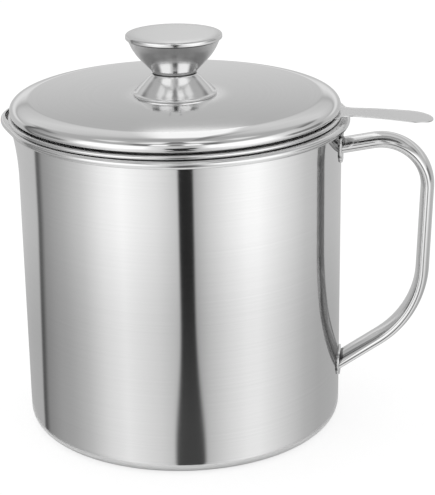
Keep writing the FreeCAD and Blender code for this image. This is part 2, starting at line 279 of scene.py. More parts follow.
class Wiring:
    """Short ways to add nodes to one node tree and join them."""

    def __init__(self, tree: bpy.types.NodeTree) -> None:
        """Keeps the tree's nodes and links."""
        self.nodes = tree.nodes
        self.links = tree.links

    def add(self, kind: str) -> bpy.types.Node:
        """Adds a node of that kind."""
        return self.nodes.new(kind)

    def feed(self, value: Feed, socket: bpy.types.NodeSocket) -> None:
        """Links a socket, or sets a number, as an input's value.

        Args:
            value: socket or number; a number fed to a colour is its grey.
            socket: the input.
        """
        if isinstance(value, bpy.types.NodeSocket):
            self.links.new(value, socket)
        elif socket.type == "RGBA":
            socket.default_value = (value, value, value, 1.0)
        else:
            socket.default_value = value

    def maths(self, way: str, *values: Feed) -> bpy.types.NodeSocket:
        """Adds a Math node.

        Args:
            way: the operation's name.
            values: sockets or numbers for its inputs.

        Returns:
            The node's output.
        """
        node = self.add("ShaderNodeMath")
        node.operation = way
        for socket, value in zip(node.inputs, values):
            self.feed(value, socket)
        return node.outputs[0]

    def spread(self, value: Feed, start: float, end: float, low: float = 0.0, high: float = 1.0,
               smooth: bool = True) -> bpy.types.NodeSocket:
        """Carries a value from one range to another and holds it there.

        Args:
            value: the socket to carry.
            start: value that gives low.
            end: value that gives high.
            low: result up to the start.
            high: result from the end on.
            smooth: whether the change eases in and out.

        Returns:
            The result.
        """
        node = self.add("ShaderNodeMapRange")
        node.interpolation_type = "SMOOTHSTEP" if smooth else "LINEAR"
        labels = ("From Min", "From Max", "To Min", "To Max")
        for label, number in zip(labels, (start, end, low, high)):
            node.inputs[label].default_value = number
        self.feed(value, node.inputs["Value"])
        return node.outputs["Result"]

    def within(self, value: Feed, edges: Sequence[float]) -> bpy.types.NodeSocket:
        """Mask that is full between two values and fades out beyond them.

        Args:
            value: the socket to test.
            edges: where the mask begins, is full, is still full, and has ended.

        Returns:
            The mask, from 0 to 1.
        """
        begins, full, still_full, ended = edges
        rise = self.spread(value, begins, full)
        fall = self.spread(value, still_full, ended, 1.0, 0.0)
        return self.maths("MULTIPLY", rise, fall)

    def mixed(self, share: Feed, first: Feed, second: Feed) -> bpy.types.NodeSocket:
        """Mixes two greys or colours.

        Args:
            share: how much of the second.
            first: socket or grey at share 0.
            second: socket or grey at share 1.

        Returns:
            The mixed colour.
        """
        node = self.add("ShaderNodeMix")
        node.data_type = "RGBA"
        self.feed(share, node.inputs["Factor"])
        for label, value in (("A", first), ("B", second)):
            self.feed(value, next(s for s in node.inputs if s.name == label and s.type == "RGBA"))
        return next(s for s in node.outputs if s.type == "RGBA")

    def blended(self, share: Feed, first: bpy.types.NodeSocket,
                second: bpy.types.NodeSocket) -> bpy.types.NodeSocket:
        """Mixes two shaders.

        Args:
            share: how much of the second.
            first: shader at share 0.
            second: shader at share 1.

        Returns:
            The mixed shader.
        """
        node = self.add("ShaderNodeMixShader")
        for socket, value in zip(node.inputs, (share, first, second)):
            self.feed(value, socket)
        return node.outputs[0]

    def ramp(self, value: Feed, stops: Sequence[tuple]) -> bpy.types.NodeSocket:
        """A colour ramp of greys.

        Args:
            value: socket that runs from the first stop's place to the last stop's.
            stops: (place, linear grey), with places in order.

        Returns:
            The ramp's colour.
        """
        low, high = stops[0][0], stops[-1][0]
        node = self.add("ShaderNodeValToRGB")
        elements = node.color_ramp.elements
        for index, (place, grey) in enumerate(stops):
            share = (place - low) / (high - low)
            last = index == len(stops) - 1
            element = elements[0] if index == 0 else elements[-1] if last else elements.new(share)
            element.position = share
            element.color = (grey, grey, grey, 1.0)
        self.links.new(self.spread(value, low, high, smooth=False), node.inputs["Fac"])
        return node.outputs["Color"]


def grain_group(grain: Grain) -> bpy.types.NodeTree:
    """Node group of fine lines: noise squeezed across the lines and stretched along them.

    The lines' coordinate is the height on a wall, the distance from the axis on a disc, and the
    plain place on crossed metal. Cloud is a slow change over the surface, as wiping leaves it.

    Args:
        grain: which way the lines run.

    Returns:
        The group, with Lines and Cloud as outputs from 0 to 1, and Across, the lines' own
        coordinate in millimetres.
    """
    name = "steel_grain_" + grain.value
    if name in bpy.data.node_groups:
        return bpy.data.node_groups[name]
    tree = bpy.data.node_groups.new(name, "ShaderNodeTree")
    for label, value in (("Fineness", 3000.0), ("Length", 40.0), ("Cloud Size", 25.0)):
        socket = tree.interface.new_socket(label, in_out="INPUT", socket_type="NodeSocketFloat")
        socket.default_value = value
    for label in ("Lines", "Cloud", "Across"):
        tree.interface.new_socket(label, in_out="OUTPUT", socket_type="NodeSocketFloat")
    wiring = Wiring(tree)
    given = wiring.add("NodeGroupInput").outputs
    result = wiring.add("NodeGroupOutput").inputs
    place = wiring.add("ShaderNodeTexCoord").outputs["Object"]
    parts = wiring.add("ShaderNodeSeparateXYZ")
    wiring.feed(place, parts.inputs[0])
    x, y, z = parts.outputs
    across = z
    if grain is Grain.ROUND_DISC:
        from_axis = wiring.maths("SUBTRACT", x, AXIS_SHIFT * MM)
        squares = [wiring.maths("POWER", value, 2.0) for value in (from_axis, y)]
        across = wiring.maths("SQRT", wiring.maths("ADD", *squares))
    stretched = wiring.add("ShaderNodeCombineXYZ")
    squeeze = given["Length"] if grain is Grain.CROSSED else given["Fineness"]
    densities = (given["Length"], given["Length"], squeeze)
    for value, density, socket in zip((x, y, across), densities, stretched.inputs):
        wiring.feed(wiring.maths("MULTIPLY", value, density), socket)
    lines = wiring.add("ShaderNodeTexNoise")
    lines.inputs["Scale"].default_value = 1.0
    lines.inputs["Detail"].default_value = 3.0
    wiring.feed(stretched.outputs[0], lines.inputs["Vector"])
    wiring.feed(lines.outputs["Fac"], result["Lines"])
    cloud = wiring.add("ShaderNodeTexNoise")
    cloud.inputs["Detail"].default_value = 2.0
    wiring.feed(given["Cloud Size"], cloud.inputs["Scale"])
    wiring.feed(place, cloud.inputs["Vector"])
    wiring.feed(cloud.outputs["Fac"], result["Cloud"])
    wiring.feed(wiring.maths("DIVIDE", across, MM), result["Across"])
    return tree


ONE_NOISE = (0.25, 0.75)            # where most values of one noise lie
TWO_NOISES = (0.6, 1.4)             # where most values of two added noises lie
EDGE_BLUR = 0.4                     # millimetres to each side over which a duller edge sets in
FADE_START = 0.6                    # share of a reach at which its fade begins
PAINTED_REFLECTION_END = 1.3                     # share of its reach at which the painted reflection has faded out
PAINTED_REFLECTION_SHARE = 0.85                  # how much of the painted reflection covers the steel
# (millimetres away, linear grey) of a satin face as the steel that stands on it shows it: a painted
# reflection, darkest at middle distances as painted shade
PAINTED_REFLECTION_TONES = ((10.0, 0.62), (14.0, 0.5), (17.5, 0.2), (23.0, 0.2), (32.0, 0.45))


@dataclass(frozen=True)
class Steel:
    """A finish of bare stainless steel."""

    name: str
    grey: float = 0.8               # reflectance facing the surface
    roughness: float = 0.12
    roughness_spread: float = 0.04  # change of roughness over the clouds and lines
    grain: Grain = Grain.ROUND_WALL
    fineness: float = 3000.0        # lines per metre across the grain
    length: float = 12.0            # lines per metre along the grain
    depth: float = 0.02             # depth of the lines, in millimetres of bump
    tone_spread: float = 0.03       # change of grey along the lines
    edge_from: float = 0.0          # beyond this coordinate across the lines the steel is duller
    edge_roughness: float = 0.2
    middle_to: float = 0.0          # within this coordinate across the lines the steel is duller
    middle_roughness: float = 0.2
    seen_near: float = 0.0          # other steel reflects it only within this many millimetres
    painted_shade_in_gloss: float = 0.0          # share of black mixed in as painted shade where other steel reflects it
    painted_reflection_reach: float = 0.0         # steel within this many millimetres reflects it as a painted matt grey, darker by distance as painted shade
    metallic: float = 1.0

    def material(self) -> bpy.types.Material:
        """The finish as a material, made once.

        Returns:
            The material.
        """
        if self.name in bpy.data.materials:
            return bpy.data.materials[self.name]
        made = bpy.data.materials.new(self.name)
        made.use_nodes = True
        wiring = Wiring(made.node_tree)
        shader = made.node_tree.nodes["Principled BSDF"].inputs
        shader["Metallic"].default_value = self.metallic
        grain = wiring.add("ShaderNodeGroup")
        grain.node_tree = grain_group(self.grain)
        grain.inputs["Fineness"].default_value = self.fineness
        grain.inputs["Length"].default_value = self.length
        lines, cloud = grain.outputs["Lines"], grain.outputs["Cloud"]
        half = self.roughness_spread / 2
        both = wiring.maths("ADD", lines, cloud)
        smoothest, roughest = self.roughness - half, self.roughness + half
        rough = wiring.spread(both, *TWO_NOISES, smoothest, roughest, smooth=False)
        place = grain.outputs["Across"]
        if self.edge_from > 0:
            edge = wiring.spread(place, self.edge_from - EDGE_BLUR, self.edge_from + EDGE_BLUR)
            rough = self.duller(wiring, rough, edge, self.edge_roughness)
        if self.middle_to > 0:
            middle = wiring.spread(place, FADE_START * self.middle_to, self.middle_to, 1.0, 0.0)
            rough = self.duller(wiring, rough, middle, self.middle_roughness)
        wiring.feed(rough, shader["Roughness"])
        half = self.tone_spread / 2
        tones = zip(ONE_NOISE, (self.grey - half, self.grey + half))
        wiring.feed(wiring.ramp(lines, tuple(tones)), shader["Base Color"])
        if self.depth > 0:
            bump = wiring.add("ShaderNodeBump")
            bump.inputs["Distance"].default_value = self.depth * MM
            wiring.feed(lines, bump.inputs["Height"])
            wiring.feed(bump.outputs["Normal"], shader["Normal"])
        if self.seen_near > 0:
            self.fade_far(made, wiring)
        if self.painted_shade_in_gloss > 0:
            self.paint_shade_in_gloss(made, wiring)
        if self.painted_reflection_reach > 0:
            self.paint_near_reflection(made, wiring)
        return made

    def duller(self, wiring: Wiring, rough: Feed, where: Feed, roughness: float) -> bpy.types.NodeSocket:
        """Raises the roughness to another level by a mask.

        Args:
            wiring: the material's node tree.
            rough: the roughness so far.
            where: mask of the duller stretch.
            roughness: mean roughness there.

        Returns:
            The new roughness.
        """
        extra = wiring.maths("MULTIPLY", where, roughness - self.roughness)
        return wiring.maths("ADD", rough, extra)

    def show_gloss(self, made: bpy.types.Material, wiring: Wiring, share: Feed,
                   other: bpy.types.NodeSocket) -> None:
        """Shows gloss rays another shader in place of the steel.

        Args:
            made: the material.
            wiring: its node tree.
            share: how much of the other shader they see.
            other: that shader.
        """
        seen = wiring.add("ShaderNodeLightPath").outputs["Is Glossy Ray"]
        solid = made.node_tree.nodes["Principled BSDF"].outputs[0]
        shown = wiring.blended(wiring.maths("MULTIPLY", share, seen), solid, other)
        wiring.feed(shown, made.node_tree.nodes["Material Output"].inputs["Surface"])

    def fade_far(self, made: bpy.types.Material, wiring: Wiring) -> None:
        """Lets gloss rays pass the steel beyond its near distance, as a satin lid blurs it away.

        Args:
            made: the material.
            wiring: its node tree.
        """
        distance = wiring.add("ShaderNodeLightPath").outputs["Ray Length"]
        far = wiring.spread(distance, FADE_START * self.seen_near * MM, self.seen_near * MM)
        clear = wiring.add("ShaderNodeBsdfTransparent").outputs[0]
        self.show_gloss(made, wiring, far, clear)

    def paint_shade_in_gloss(self, made: bpy.types.Material, wiring: Wiring) -> None:
        """Mixes in black for gloss rays: painted shade in the steel's reflections, standing in for the dark
        between two close faces that only see each other.

        Args:
            made: the material.
            wiring: its node tree.
        """
        black = wiring.add("ShaderNodeBsdfDiffuse")
        wiring.feed(0.0, black.inputs["Color"])
        self.show_gloss(made, wiring, self.painted_shade_in_gloss, black.outputs[0])

    def paint_near_reflection(self, made: bpy.types.Material, wiring: Wiring) -> None:
        """Shows close gloss rays a matt grey set by the ray's length: a painted reflection of a satin face
        in the polished steel on it, with painted shade at middle distances.

        Args:
            made: the material.
            wiring: its node tree.
        """
        distance = wiring.add("ShaderNodeLightPath").outputs["Ray Length"]
        reach = self.painted_reflection_reach * MM
        near = wiring.spread(distance, reach, PAINTED_REFLECTION_END * reach, PAINTED_REFLECTION_SHARE, 0.0)
        matt = wiring.add("ShaderNodeBsdfDiffuse")
        wiring.feed(wiring.ramp(wiring.maths("DIVIDE", distance, MM), PAINTED_REFLECTION_TONES), matt.inputs["Color"])
        self.show_gloss(made, wiring, near, matt.outputs[0])


WALL_STEEL = Steel("steel_wall", roughness=0.075, roughness_spread=0.03, fineness=2600.0, depth=0.0004,
                   edge_from=115.4, edge_roughness=0.2)
INSIDE_STEEL = Steel("steel_inside", grey=0.84, roughness=0.3, roughness_spread=0.06, fineness=1800.0,
                     depth=0.0015, metallic=0.55)
# the tube's reflections in other steel carry painted shade: black mixed in for gloss rays
TUBE_STEEL = Steel("steel_tube", grey=0.76, roughness=0.07, grain=Grain.CROSSED, depth=0.0, painted_shade_in_gloss=0.6)
STRAINER_STEEL = Steel("steel_strainer", roughness=0.19, grain=Grain.ROUND_DISC, depth=0.0003)
WIRE_STEEL = Steel("steel_wire", grey=0.66, roughness=0.28, grain=Grain.CROSSED, depth=0.0)
# the lid as the knob reflects it is painted: a matt grey by distance, with painted shade
LID_STEEL = Steel("steel_lid", roughness=0.03, roughness_spread=0.01, grain=Grain.ROUND_DISC,
                  fineness=2200.0, depth=0.0, edge_from=60.7, edge_roughness=0.1, middle_to=24.0,
                  middle_roughness=0.13, painted_reflection_reach=34.0)
KNOB_STEEL = Steel("steel_knob", roughness=0.15, roughness_spread=0.06, grain=Grain.CROSSED, depth=0.0,
                   seen_near=19.0)
CAP_STEEL = Steel("steel_cap", grey=0.68, roughness=0.26, grain=Grain.CROSSED, depth=0.0)
# near-black steel: painted shade in the knob's waist groove and under its cap's edge
SHADED_GAP_STEEL = Steel("steel_gap_painted_shade", grey=0.12, roughness=0.5, grain=Grain.CROSSED, depth=0.0, seen_near=26.0)
FASTENER_STEEL = Steel("steel_fastener", grey=0.62, roughness=0.3, grain=Grain.ROUND_DISC, depth=0.004)


# ---- putting pieces into the scene --------------------------------------------------------------
def placed(
    name: str, shape: Surface, finish: Steel, body: str, nodes: Sequence[str],
    inner: Optional[tuple[Steel, np.ndarray]] = None,
) -> bpy.types.Object:
    """Puts a surface into the scene as a finished piece.

    Args:
        name: the piece's name.
        shape: its surface, in millimetres.
        finish: its steel.
        body: the body it moves with.
        nodes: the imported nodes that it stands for.
        inner: another steel and the faces that have it, True for each of those.

    Returns:
        The piece.
    """
    mesh = bpy.data.meshes.new(name)
    loops = np.concatenate([shape.quads.ravel(), shape.triangles.ravel()])
    totals = np.repeat([4, 3], [len(shape.quads), len(shape.triangles)])
    starts = np.concatenate([[0], np.cumsum(totals)[:-1]])
    mesh.vertices.add(len(shape.points))
    mesh.vertices.foreach_set("co", (shape.points * MM).astype(np.float32).ravel())
    mesh.loops.add(len(loops))
    mesh.loops.foreach_set("vertex_index", loops.astype(np.int32))
    mesh.polygons.add(len(totals))
    mesh.polygons.foreach_set("loop_start", starts.astype(np.int32))
    mesh.polygons.foreach_set("loop_total", totals.astype(np.int32))
    mesh.update(calc_edges=True)
    mesh.validate()
    mesh.shade_smooth()
    mesh.set_sharp_from_angle(angle=SHARP_ANGLE)
    mesh.materials.append(finish.material())
    if inner is not None:
        mesh.materials.append(inner[0].material())
        mesh.polygons.foreach_set("material_index", inner[1].astype(np.int32))
    piece = bpy.data.objects.new(name, mesh)
    bpy.context.scene.collection.objects.link(piece)
    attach(piece, body)
    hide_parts(*nodes)
    log.info("%s: %d points, %d faces", name, len(shape.points), len(totals))
    return piece


# ---- cup ----------------------------------------------------------------------------------------
@dataclass
class Cup:
    """Drawn cup: dished base on a foot ring, straight wall, rolled rim with a pouring lip."""

    radius: float = 60.0
    height: float = 118.3
    sheet: float = 0.6
    corner: float = 5.0
    foot_width: float = 6.0
    foot_rounding: tuple = (1.0, 1.4)   # where the foot ring turns up, outside and inside
    dish: float = 1.4
    dish_slope: float = 2.5
    dish_rounding: tuple = (2.0, 1.6)   # where the slope meets the dish, outside and inside
    dish_inset: float = 0.2         # how far outside the underside's slope the inside's lies
    roll_width: float = 3.7
    roll: float = 1.4               # radius of the rolled rim's tube
    roll_step: float = 0.25         # how far the wall runs up behind the roll's foot
    roll_rounding: float = 0.3      # where the roll's foot meets the wall
    mouth_rounding: float = 0.55    # the rim's inner edge
    lip_reach: float = 3.6
    lip_half_spread: float = np.radians(27.0)
    lip_drop: float = 21.0
    lip_lean: float = 1.7
    lip_thinning: float = 2.1       # how much narrower the rim is at the lip
    thinning_from: float = 6.0      # how far below the rim the inside starts to follow that
    thinning_to: float = 1.0        # and how far below the rim it follows fully
    satin_from: float = 0.5         # how far below the rim the satin inside starts
    columns: int = 320

    def across_lip(self, angle: np.ndarray) -> np.ndarray:
        """Squared cosine across the lip: 1 at its middle, 0 from its ends on."""
        across = np.clip((angle - np.pi) / self.lip_half_spread, -1.0, 1.0)
        return np.cos(across * np.pi / 2) ** 2

    def lip_pull(self, angle: np.ndarray, height: np.ndarray) -> np.ndarray:
        """How far the pouring lip pulls a point outwards.

        The pull is the reach times the squared cosine across the lip, times the share of the way up
        the leaning wall raised to the lean.

        Args:
            angle: about Z, from +X.
            height: above the floor, in millimetres.

        Returns:
            The outward move in millimetres.
        """
        start = self.height - self.lip_drop
        share = np.clip((height - start) / (self.lip_drop - 2 * self.roll), 0.0, 1.0)
        return self.lip_reach * self.across_lip(angle) * share**self.lip_lean

    def profile(self) -> np.ndarray:
        """Half section from the middle of the underside, up the outside and down the inside.

        Returns:
            (radius, height) points.
        """
        foot_outer = self.radius - self.corner
        foot_inner = foot_outer - self.foot_width
        inner = self.radius - self.sheet
        rim = inner + self.roll_width
        roll_foot = self.height - 2 * self.roll
        roll_arc = self.roll * 0.98     # a little under the roll, so that its two arcs fit
        foot_outside, foot_inside = self.foot_rounding
        dish_outside, dish_inside = self.dish_rounding
        corners = [
            (0.0, self.dish),
            (foot_inner - self.dish_slope, self.dish, dish_outside),
            (foot_inner, 0.0, foot_outside),
            (self.radius, 0.0, self.corner),
            (self.radius, roll_foot + self.roll_step, self.roll_rounding),
            (rim - self.roll, roll_foot, self.roll_rounding),
            (rim, roll_foot, roll_arc),
            (rim, self.height, roll_arc),
            (inner, self.height, self.mouth_rounding),
            (inner, self.sheet, self.corner - self.sheet),
            (foot_inner + self.dish_inset, self.sheet, foot_inside),
            (foot_inner - self.dish_slope + self.dish_inset, self.dish + self.sheet, dish_inside),
            (0.0, self.dish + self.sheet),
        ]
        return refined(rounded(corners), longest=2.5)

    def thinning(self, profile: np.ndarray) -> np.ndarray:
        """How far the lip's middle draws each row of the inner side outwards, beyond the pull.

        Across the rim's flat top it grows with the distance from the outer edge; down the inside it
        falls with the square of the share of height left above the place where it starts.

        Args:
            profile: the section's (radius, height) points.

        Returns:
            The extra move in millimetres, one for each row.
        """
        flat = 0.02                     # rows this close to the rim's height lie on its flat top
        on_top = int(np.argmax(profile[:, 1] > self.height - flat))
        outer, inner = profile[on_top, 0], self.radius - self.sheet
        across = np.clip((outer - profile[:, 0]) / (outer - inner), 0.0, 1.0)
        above_start = profile[:, 1] - self.height + self.thinning_from
        down = np.clip(above_start / (self.thinning_from - self.thinning_to), 0.0, 1.0) ** 2
        return self.lip_thinning * across * down * (np.arange(len(profile)) >= on_top)

    def build(self) -> None:
        """Makes the shell, polished outside and on the rim, satin inside."""
        profile = self.profile()[1:-1]
        extra = self.thinning(profile)[:, None]

        def pull(angle: np.ndarray, height: np.ndarray) -> np.ndarray:
            """The lip's pull with the rim's thinning."""
            return self.lip_pull(angle, height) + extra * self.across_lip(angle)

        shell = spun(profile, self.columns, False, pull)
        past_rim = np.arange(len(profile)) > np.argmax(profile[:, 1])
        first = int(np.argmax(past_rim & (profile[:, 1] < self.height - self.satin_from)))
        faces = np.arange(len(shell.quads) + len(shell.triangles))
        inside = faces >= first * self.columns
        # the first fan of triangles closes the underside, the second the inside
        inside[len(shell.quads):len(shell.quads) + self.columns] = False
        placed("cup_body", shell, WALL_STEEL, "cup", ["cup_shell"], (INSIDE_STEEL, inside))


# ---- handle -------------------------------------------------------------------------------------
@dataclass
class Handle:
    """Oval tube with two bends and the plates that carry its ends."""

    width: float = 13.0
    depth: float = 5.0
    fullness: float = 2.15          # 2 is an ellipse, more is squarer
    joint_top: tuple = (60.0, 107.4)
    corner_top: tuple = (92.46, 113.5, 17.0)
    corner_foot: tuple = (90.4, 42.6, 37.0)
    joint_foot: tuple = (60.0, 21.4)
    plate_radius: float = 60.0
    plate_sheet: float = 0.8
    plate_width: float = 14.4
    plate_corner: float = 3.5
    plate_edge: float = 0.05        # rounding of the plates' edges
    plate_reach_top: tuple = (5.4, 4.8)     # below and above the upper joint
    plate_reach_foot: tuple = (4.2, 4.6)    # below and above the lower joint
    seat_depth: float = 0.15        # how far the tube's ends reach into the plates
    columns: int = 64

    def centre_line(self) -> np.ndarray:
        """Centre line in the XZ plane, from the upper joint round to the lower one.

        Returns:
            (x, z) points.
        """
        corners = [self.joint_top, self.corner_top, self.corner_foot, self.joint_foot]
        return refined(rounded(corners, arc_step=2.5), longest=3.0)

    def tube(self) -> Surface:
        """The tube: an oval carried along the centre line, its ends cut to the plates' curve.

        A point is the centre line's point plus width times cosine across, along Y, and depth times
        sine along the line's normal, both raised to 2 / fullness. An end's points slide along the
        line until they reach the plate's radius.

        Returns:
            The closed surface.
        """
        line = self.centre_line()
        heading = np.gradient(line, axis=0)
        heading[0], heading[-1] = line[1] - line[0], line[-1] - line[-2]
        heading = heading / np.linalg.norm(heading, axis=1)[:, None]
        normal = np.stack([-heading[:, 1], heading[:, 0]], axis=1)
        turn = np.arange(self.columns) * TURN / self.columns
        power = 2 / self.fullness
        across = np.sign(np.cos(turn)) * np.abs(np.cos(turn)) ** power * self.width / 2
        through = np.sign(np.sin(turn)) * np.abs(np.sin(turn)) ** power * self.depth / 2
        grid = np.empty((len(line), self.columns, 3))
        grid[..., 0] = line[:, :1] + normal[:, :1] * through
        grid[..., 1] = across
        grid[..., 2] = line[:, 1:] + normal[:, 1:] * through
        seat = self.plate_radius + self.plate_sheet - self.seat_depth
        for end in (0, -1):
            slide = (np.sqrt(seat**2 - across**2) - grid[end, :, 0]) / heading[end, 0]
            grid[end, :, 0] += slide * heading[end, 0]
            grid[end, :, 2] += slide * heading[end, 1]
        return closed_grid(grid, False)

    def plate(self, bottom: float, top: float) -> Surface:
        """Plate with rounded corners, bent to the wall.

        Its outline is a rounded rectangle; a rounded edge profile shrinks the outline to a point on
        both faces, and the height above the wall is carried to the radius.

        Args:
            bottom: height of its lower edge.
            top: height of its upper edge.

        Returns:
            The closed surface.
        """
        half, middle, reach = self.plate_width / 2, (bottom + top) / 2, (top - bottom) / 2
        corners = [
            (half, -reach, self.plate_corner),
            (half, reach, self.plate_corner),
            (-half, reach, self.plate_corner),
            (-half, -reach, self.plate_corner),
        ]
        edge = refined(rounded(corners, loop=True), longest=1.0, loop=True)
        section = [
            (0.0, 0.0),
            (1.0, 0.0, self.plate_edge),
            (1.0, self.plate_sheet, self.plate_edge),
            (0.0, self.plate_sheet),
        ]
        profile = refined(rounded(section), longest=0.12, hold=0.02)[1:-1]
        spread = profile[:, :1, None] * edge[None]
        radius = self.plate_radius + profile[:, 1:]
        angle = spread[..., 0] / self.plate_radius
        grid = np.stack(
            [radius * np.cos(angle), radius * np.sin(angle), middle + spread[..., 1]], axis=-1
        )
        return closed_grid(grid, False)

    def build(self) -> None:
        """Makes the tube and both plates."""
        top, foot = self.joint_top[1], self.joint_foot[1]
        upper = self.plate(top - self.plate_reach_top[0], top + self.plate_reach_top[1])
        lower = self.plate(foot - self.plate_reach_foot[0], foot + self.plate_reach_foot[1])
        placed("handle_oval_tube", self.tube(), TUBE_STEEL, "cup", ["handle_tube"])
        placed("handle_plate_top", upper, TUBE_STEEL, "cup", ["handle_upper_plate"])
        placed("handle_plate_foot", lower, TUBE_STEEL, "cup", ["handle_lower_plate"])


# ---- strainer -----------------------------------------------------------------------------------
@dataclass
class Strainer:
    """Stamped ring with hem, collar and finger tab, and a bowl of woven wire."""

    ring_radius: float = 61.5
    ring_bottom: float = 118.5
    bead: float = 0.75              # radius of the rolled edge's tube
    bead_spread: float = 1.9        # how wide the rolled edge is, in those radii
    flange_step: float = 0.45       # how far the flange lies below the rolled edge's top
    collar_radius: float = 57.5
    collar_bottom: float = 110.0
    hem_top: float = 123.5
    sheet: float = 0.5
    tab_top: float = 120.3
    tab_length: float = 33.18
    tab_root_half: float = 5.6
    tab_root_from_ring: float = 2.5
    tab_taper: float = np.radians(5.0)
    tab_fillet: float = 5.0
    tab_droop: float = 2.2
    bowl_bottom: float = 83.0
    bowl_floor: float = 33.0
    bowl_softness: float = 3.0      # how far the foot of its slope is rounded
    wire_pitch: float = 1.6
    wire: float = 0.2               # radius of the wire
    wire_wave: float = 0.2          # how far a wire rises over its neighbours
    wire_margin: float = 0.35       # how far inside the collar the wires end
    band_fold: float = 1.1          # how far the edge band hangs below the collar
    band_height: float = 4.0        # how far it reaches up inside the collar
    columns: int = 288

    def ring(self) -> Surface:
        """Ring, collar, hem and rolled edge.

        Returns:
            The closed surface.
        """
        inner = self.collar_radius - self.sheet
        top = self.ring_bottom + 2 * self.bead
        flange_top = top - self.flange_step
        flange_foot = flange_top - self.sheet
        neck = self.ring_radius - self.bead_spread * self.bead
        bead_arc = self.bead * 0.96     # a little under the bead, so that its two arcs fit
        corners = [
            (inner, self.collar_bottom, 0.2),
            (self.collar_radius, self.collar_bottom, 0.2),
            (self.collar_radius, flange_foot, 0.4),
            (neck, flange_foot, 0.12),
            (neck + 0.1, self.ring_bottom, 0.2),
            (self.ring_radius, self.ring_bottom, bead_arc),
            (self.ring_radius, top, bead_arc),
            (neck + 0.1, top, 0.3),
            (neck - 0.3, flange_top, 0.3),
            (self.collar_radius, flange_top, 0.4),
            (self.collar_radius, self.hem_top, 0.22),
            (inner, self.hem_top, 0.22),
        ]
        profile = refined(rounded(corners, loop=True, arc_step=15.0), longest=2.5, loop=True)
        return spun(profile, self.columns, True)

    def tab_edge(self) -> np.ndarray:
        """Half outline of the tab: out from the ring along the root fillet, the side, the tip.

        Returns:
            (x, y) points from the root to the tip's middle.
        """
        side = np.array([np.cos(self.tab_taper), np.sin(self.tab_taper)])
        normal = np.array([-side[1], side[0]])
        root = np.array([self.ring_radius + self.tab_root_from_ring, self.tab_root_half])
        offset = normal @ root
        spread = offset + self.tab_fillet
        reach = np.sqrt((self.ring_radius + self.tab_fillet) ** 2 - spread**2)
        centre = normal * spread + side * reach
        touch = centre * self.ring_radius / (self.ring_radius + self.tab_fillet)
        start = np.arctan2(*(touch - centre)[::-1])
        end = np.arctan2(*(-normal)[::-1])
        sweep = np.linspace(start, end, 12)
        fillet = centre + self.tab_fillet * np.stack([np.cos(sweep), np.sin(sweep)], axis=1)
        tip = self.ring_radius + self.tab_length
        tip_centre = (tip - offset) / (1 + np.sin(self.tab_taper))
        tip_radius = tip - tip_centre
        turn = np.linspace(np.pi / 2 + self.tab_taper, 0.02, 28)
        end_round = np.stack([tip_centre + tip_radius * np.cos(turn), tip_radius * np.sin(turn)], axis=1)
        straight = fillet[-1] + (end_round[0] - fillet[-1]) * np.linspace(0, 1, 10)[1:-1, None]
        in_flange = np.array([[self.collar_radius + 0.2, touch[1]]])
        return np.concatenate([in_flange, fillet, straight, end_round])

    def tab(self) -> Surface:
        """The tab: a rounded flat section across it, carried from the root to the tip.

        Its half width follows the outline, its height falls with the square of the distance.

        Returns:
            The closed surface.
        """
        edge = self.tab_edge()
        turn = np.linspace(-np.pi / 2, np.pi / 2, 7)
        flat = np.linspace(-1.0, 1.0, len(turn) + 2)[1:-1]
        none, whole = np.zeros(len(turn)), np.ones(len(turn))
        right = np.stack([whole, np.cos(turn), np.sin(turn)], axis=1)
        upper = np.stack([-flat, none, whole], axis=1)
        left = np.stack([-whole, -np.cos(turn), -np.sin(turn)], axis=1)
        lower = np.stack([flat, none, -whole], axis=1)
        section = np.concatenate([right, upper, left, lower])
        half = self.sheet / 2
        rounding = np.minimum(half, edge[:, 1:])
        grid = np.empty((len(edge), len(section), 3))
        grid[..., 0] = edge[:, :1]
        grid[..., 1] = section[:, 0] * (edge[:, 1:] - rounding) + section[:, 1] * rounding
        length = self.ring_radius + self.tab_length - self.collar_radius
        drop = self.tab_droop * ((edge[:, :1] - self.collar_radius) / length) ** 2
        grid[..., 2] = self.tab_top - half - drop + section[:, 2] * rounding
        return closed_grid(grid[::-1], False)

    def bowl_height(self, radius: np.ndarray) -> np.ndarray:
        """Height of the bowl's middle surface: flat floor, rounded foot, straight slope.

        The slope and the floor are blended by a root of squares, so the foot is round.

        Args:
            radius: distance from the strainer's axis.

        Returns:
            Height in millimetres.
        """
        top = self.collar_radius - self.sheet
        slope = (self.collar_bottom - self.bowl_bottom) / (top - self.bowl_floor)
        rise = (radius - self.bowl_floor) * slope
        soft = (rise + np.sqrt(rise**2 + self.bowl_softness**2)) / 2
        return self.bowl_bottom + 2 * self.wire + soft

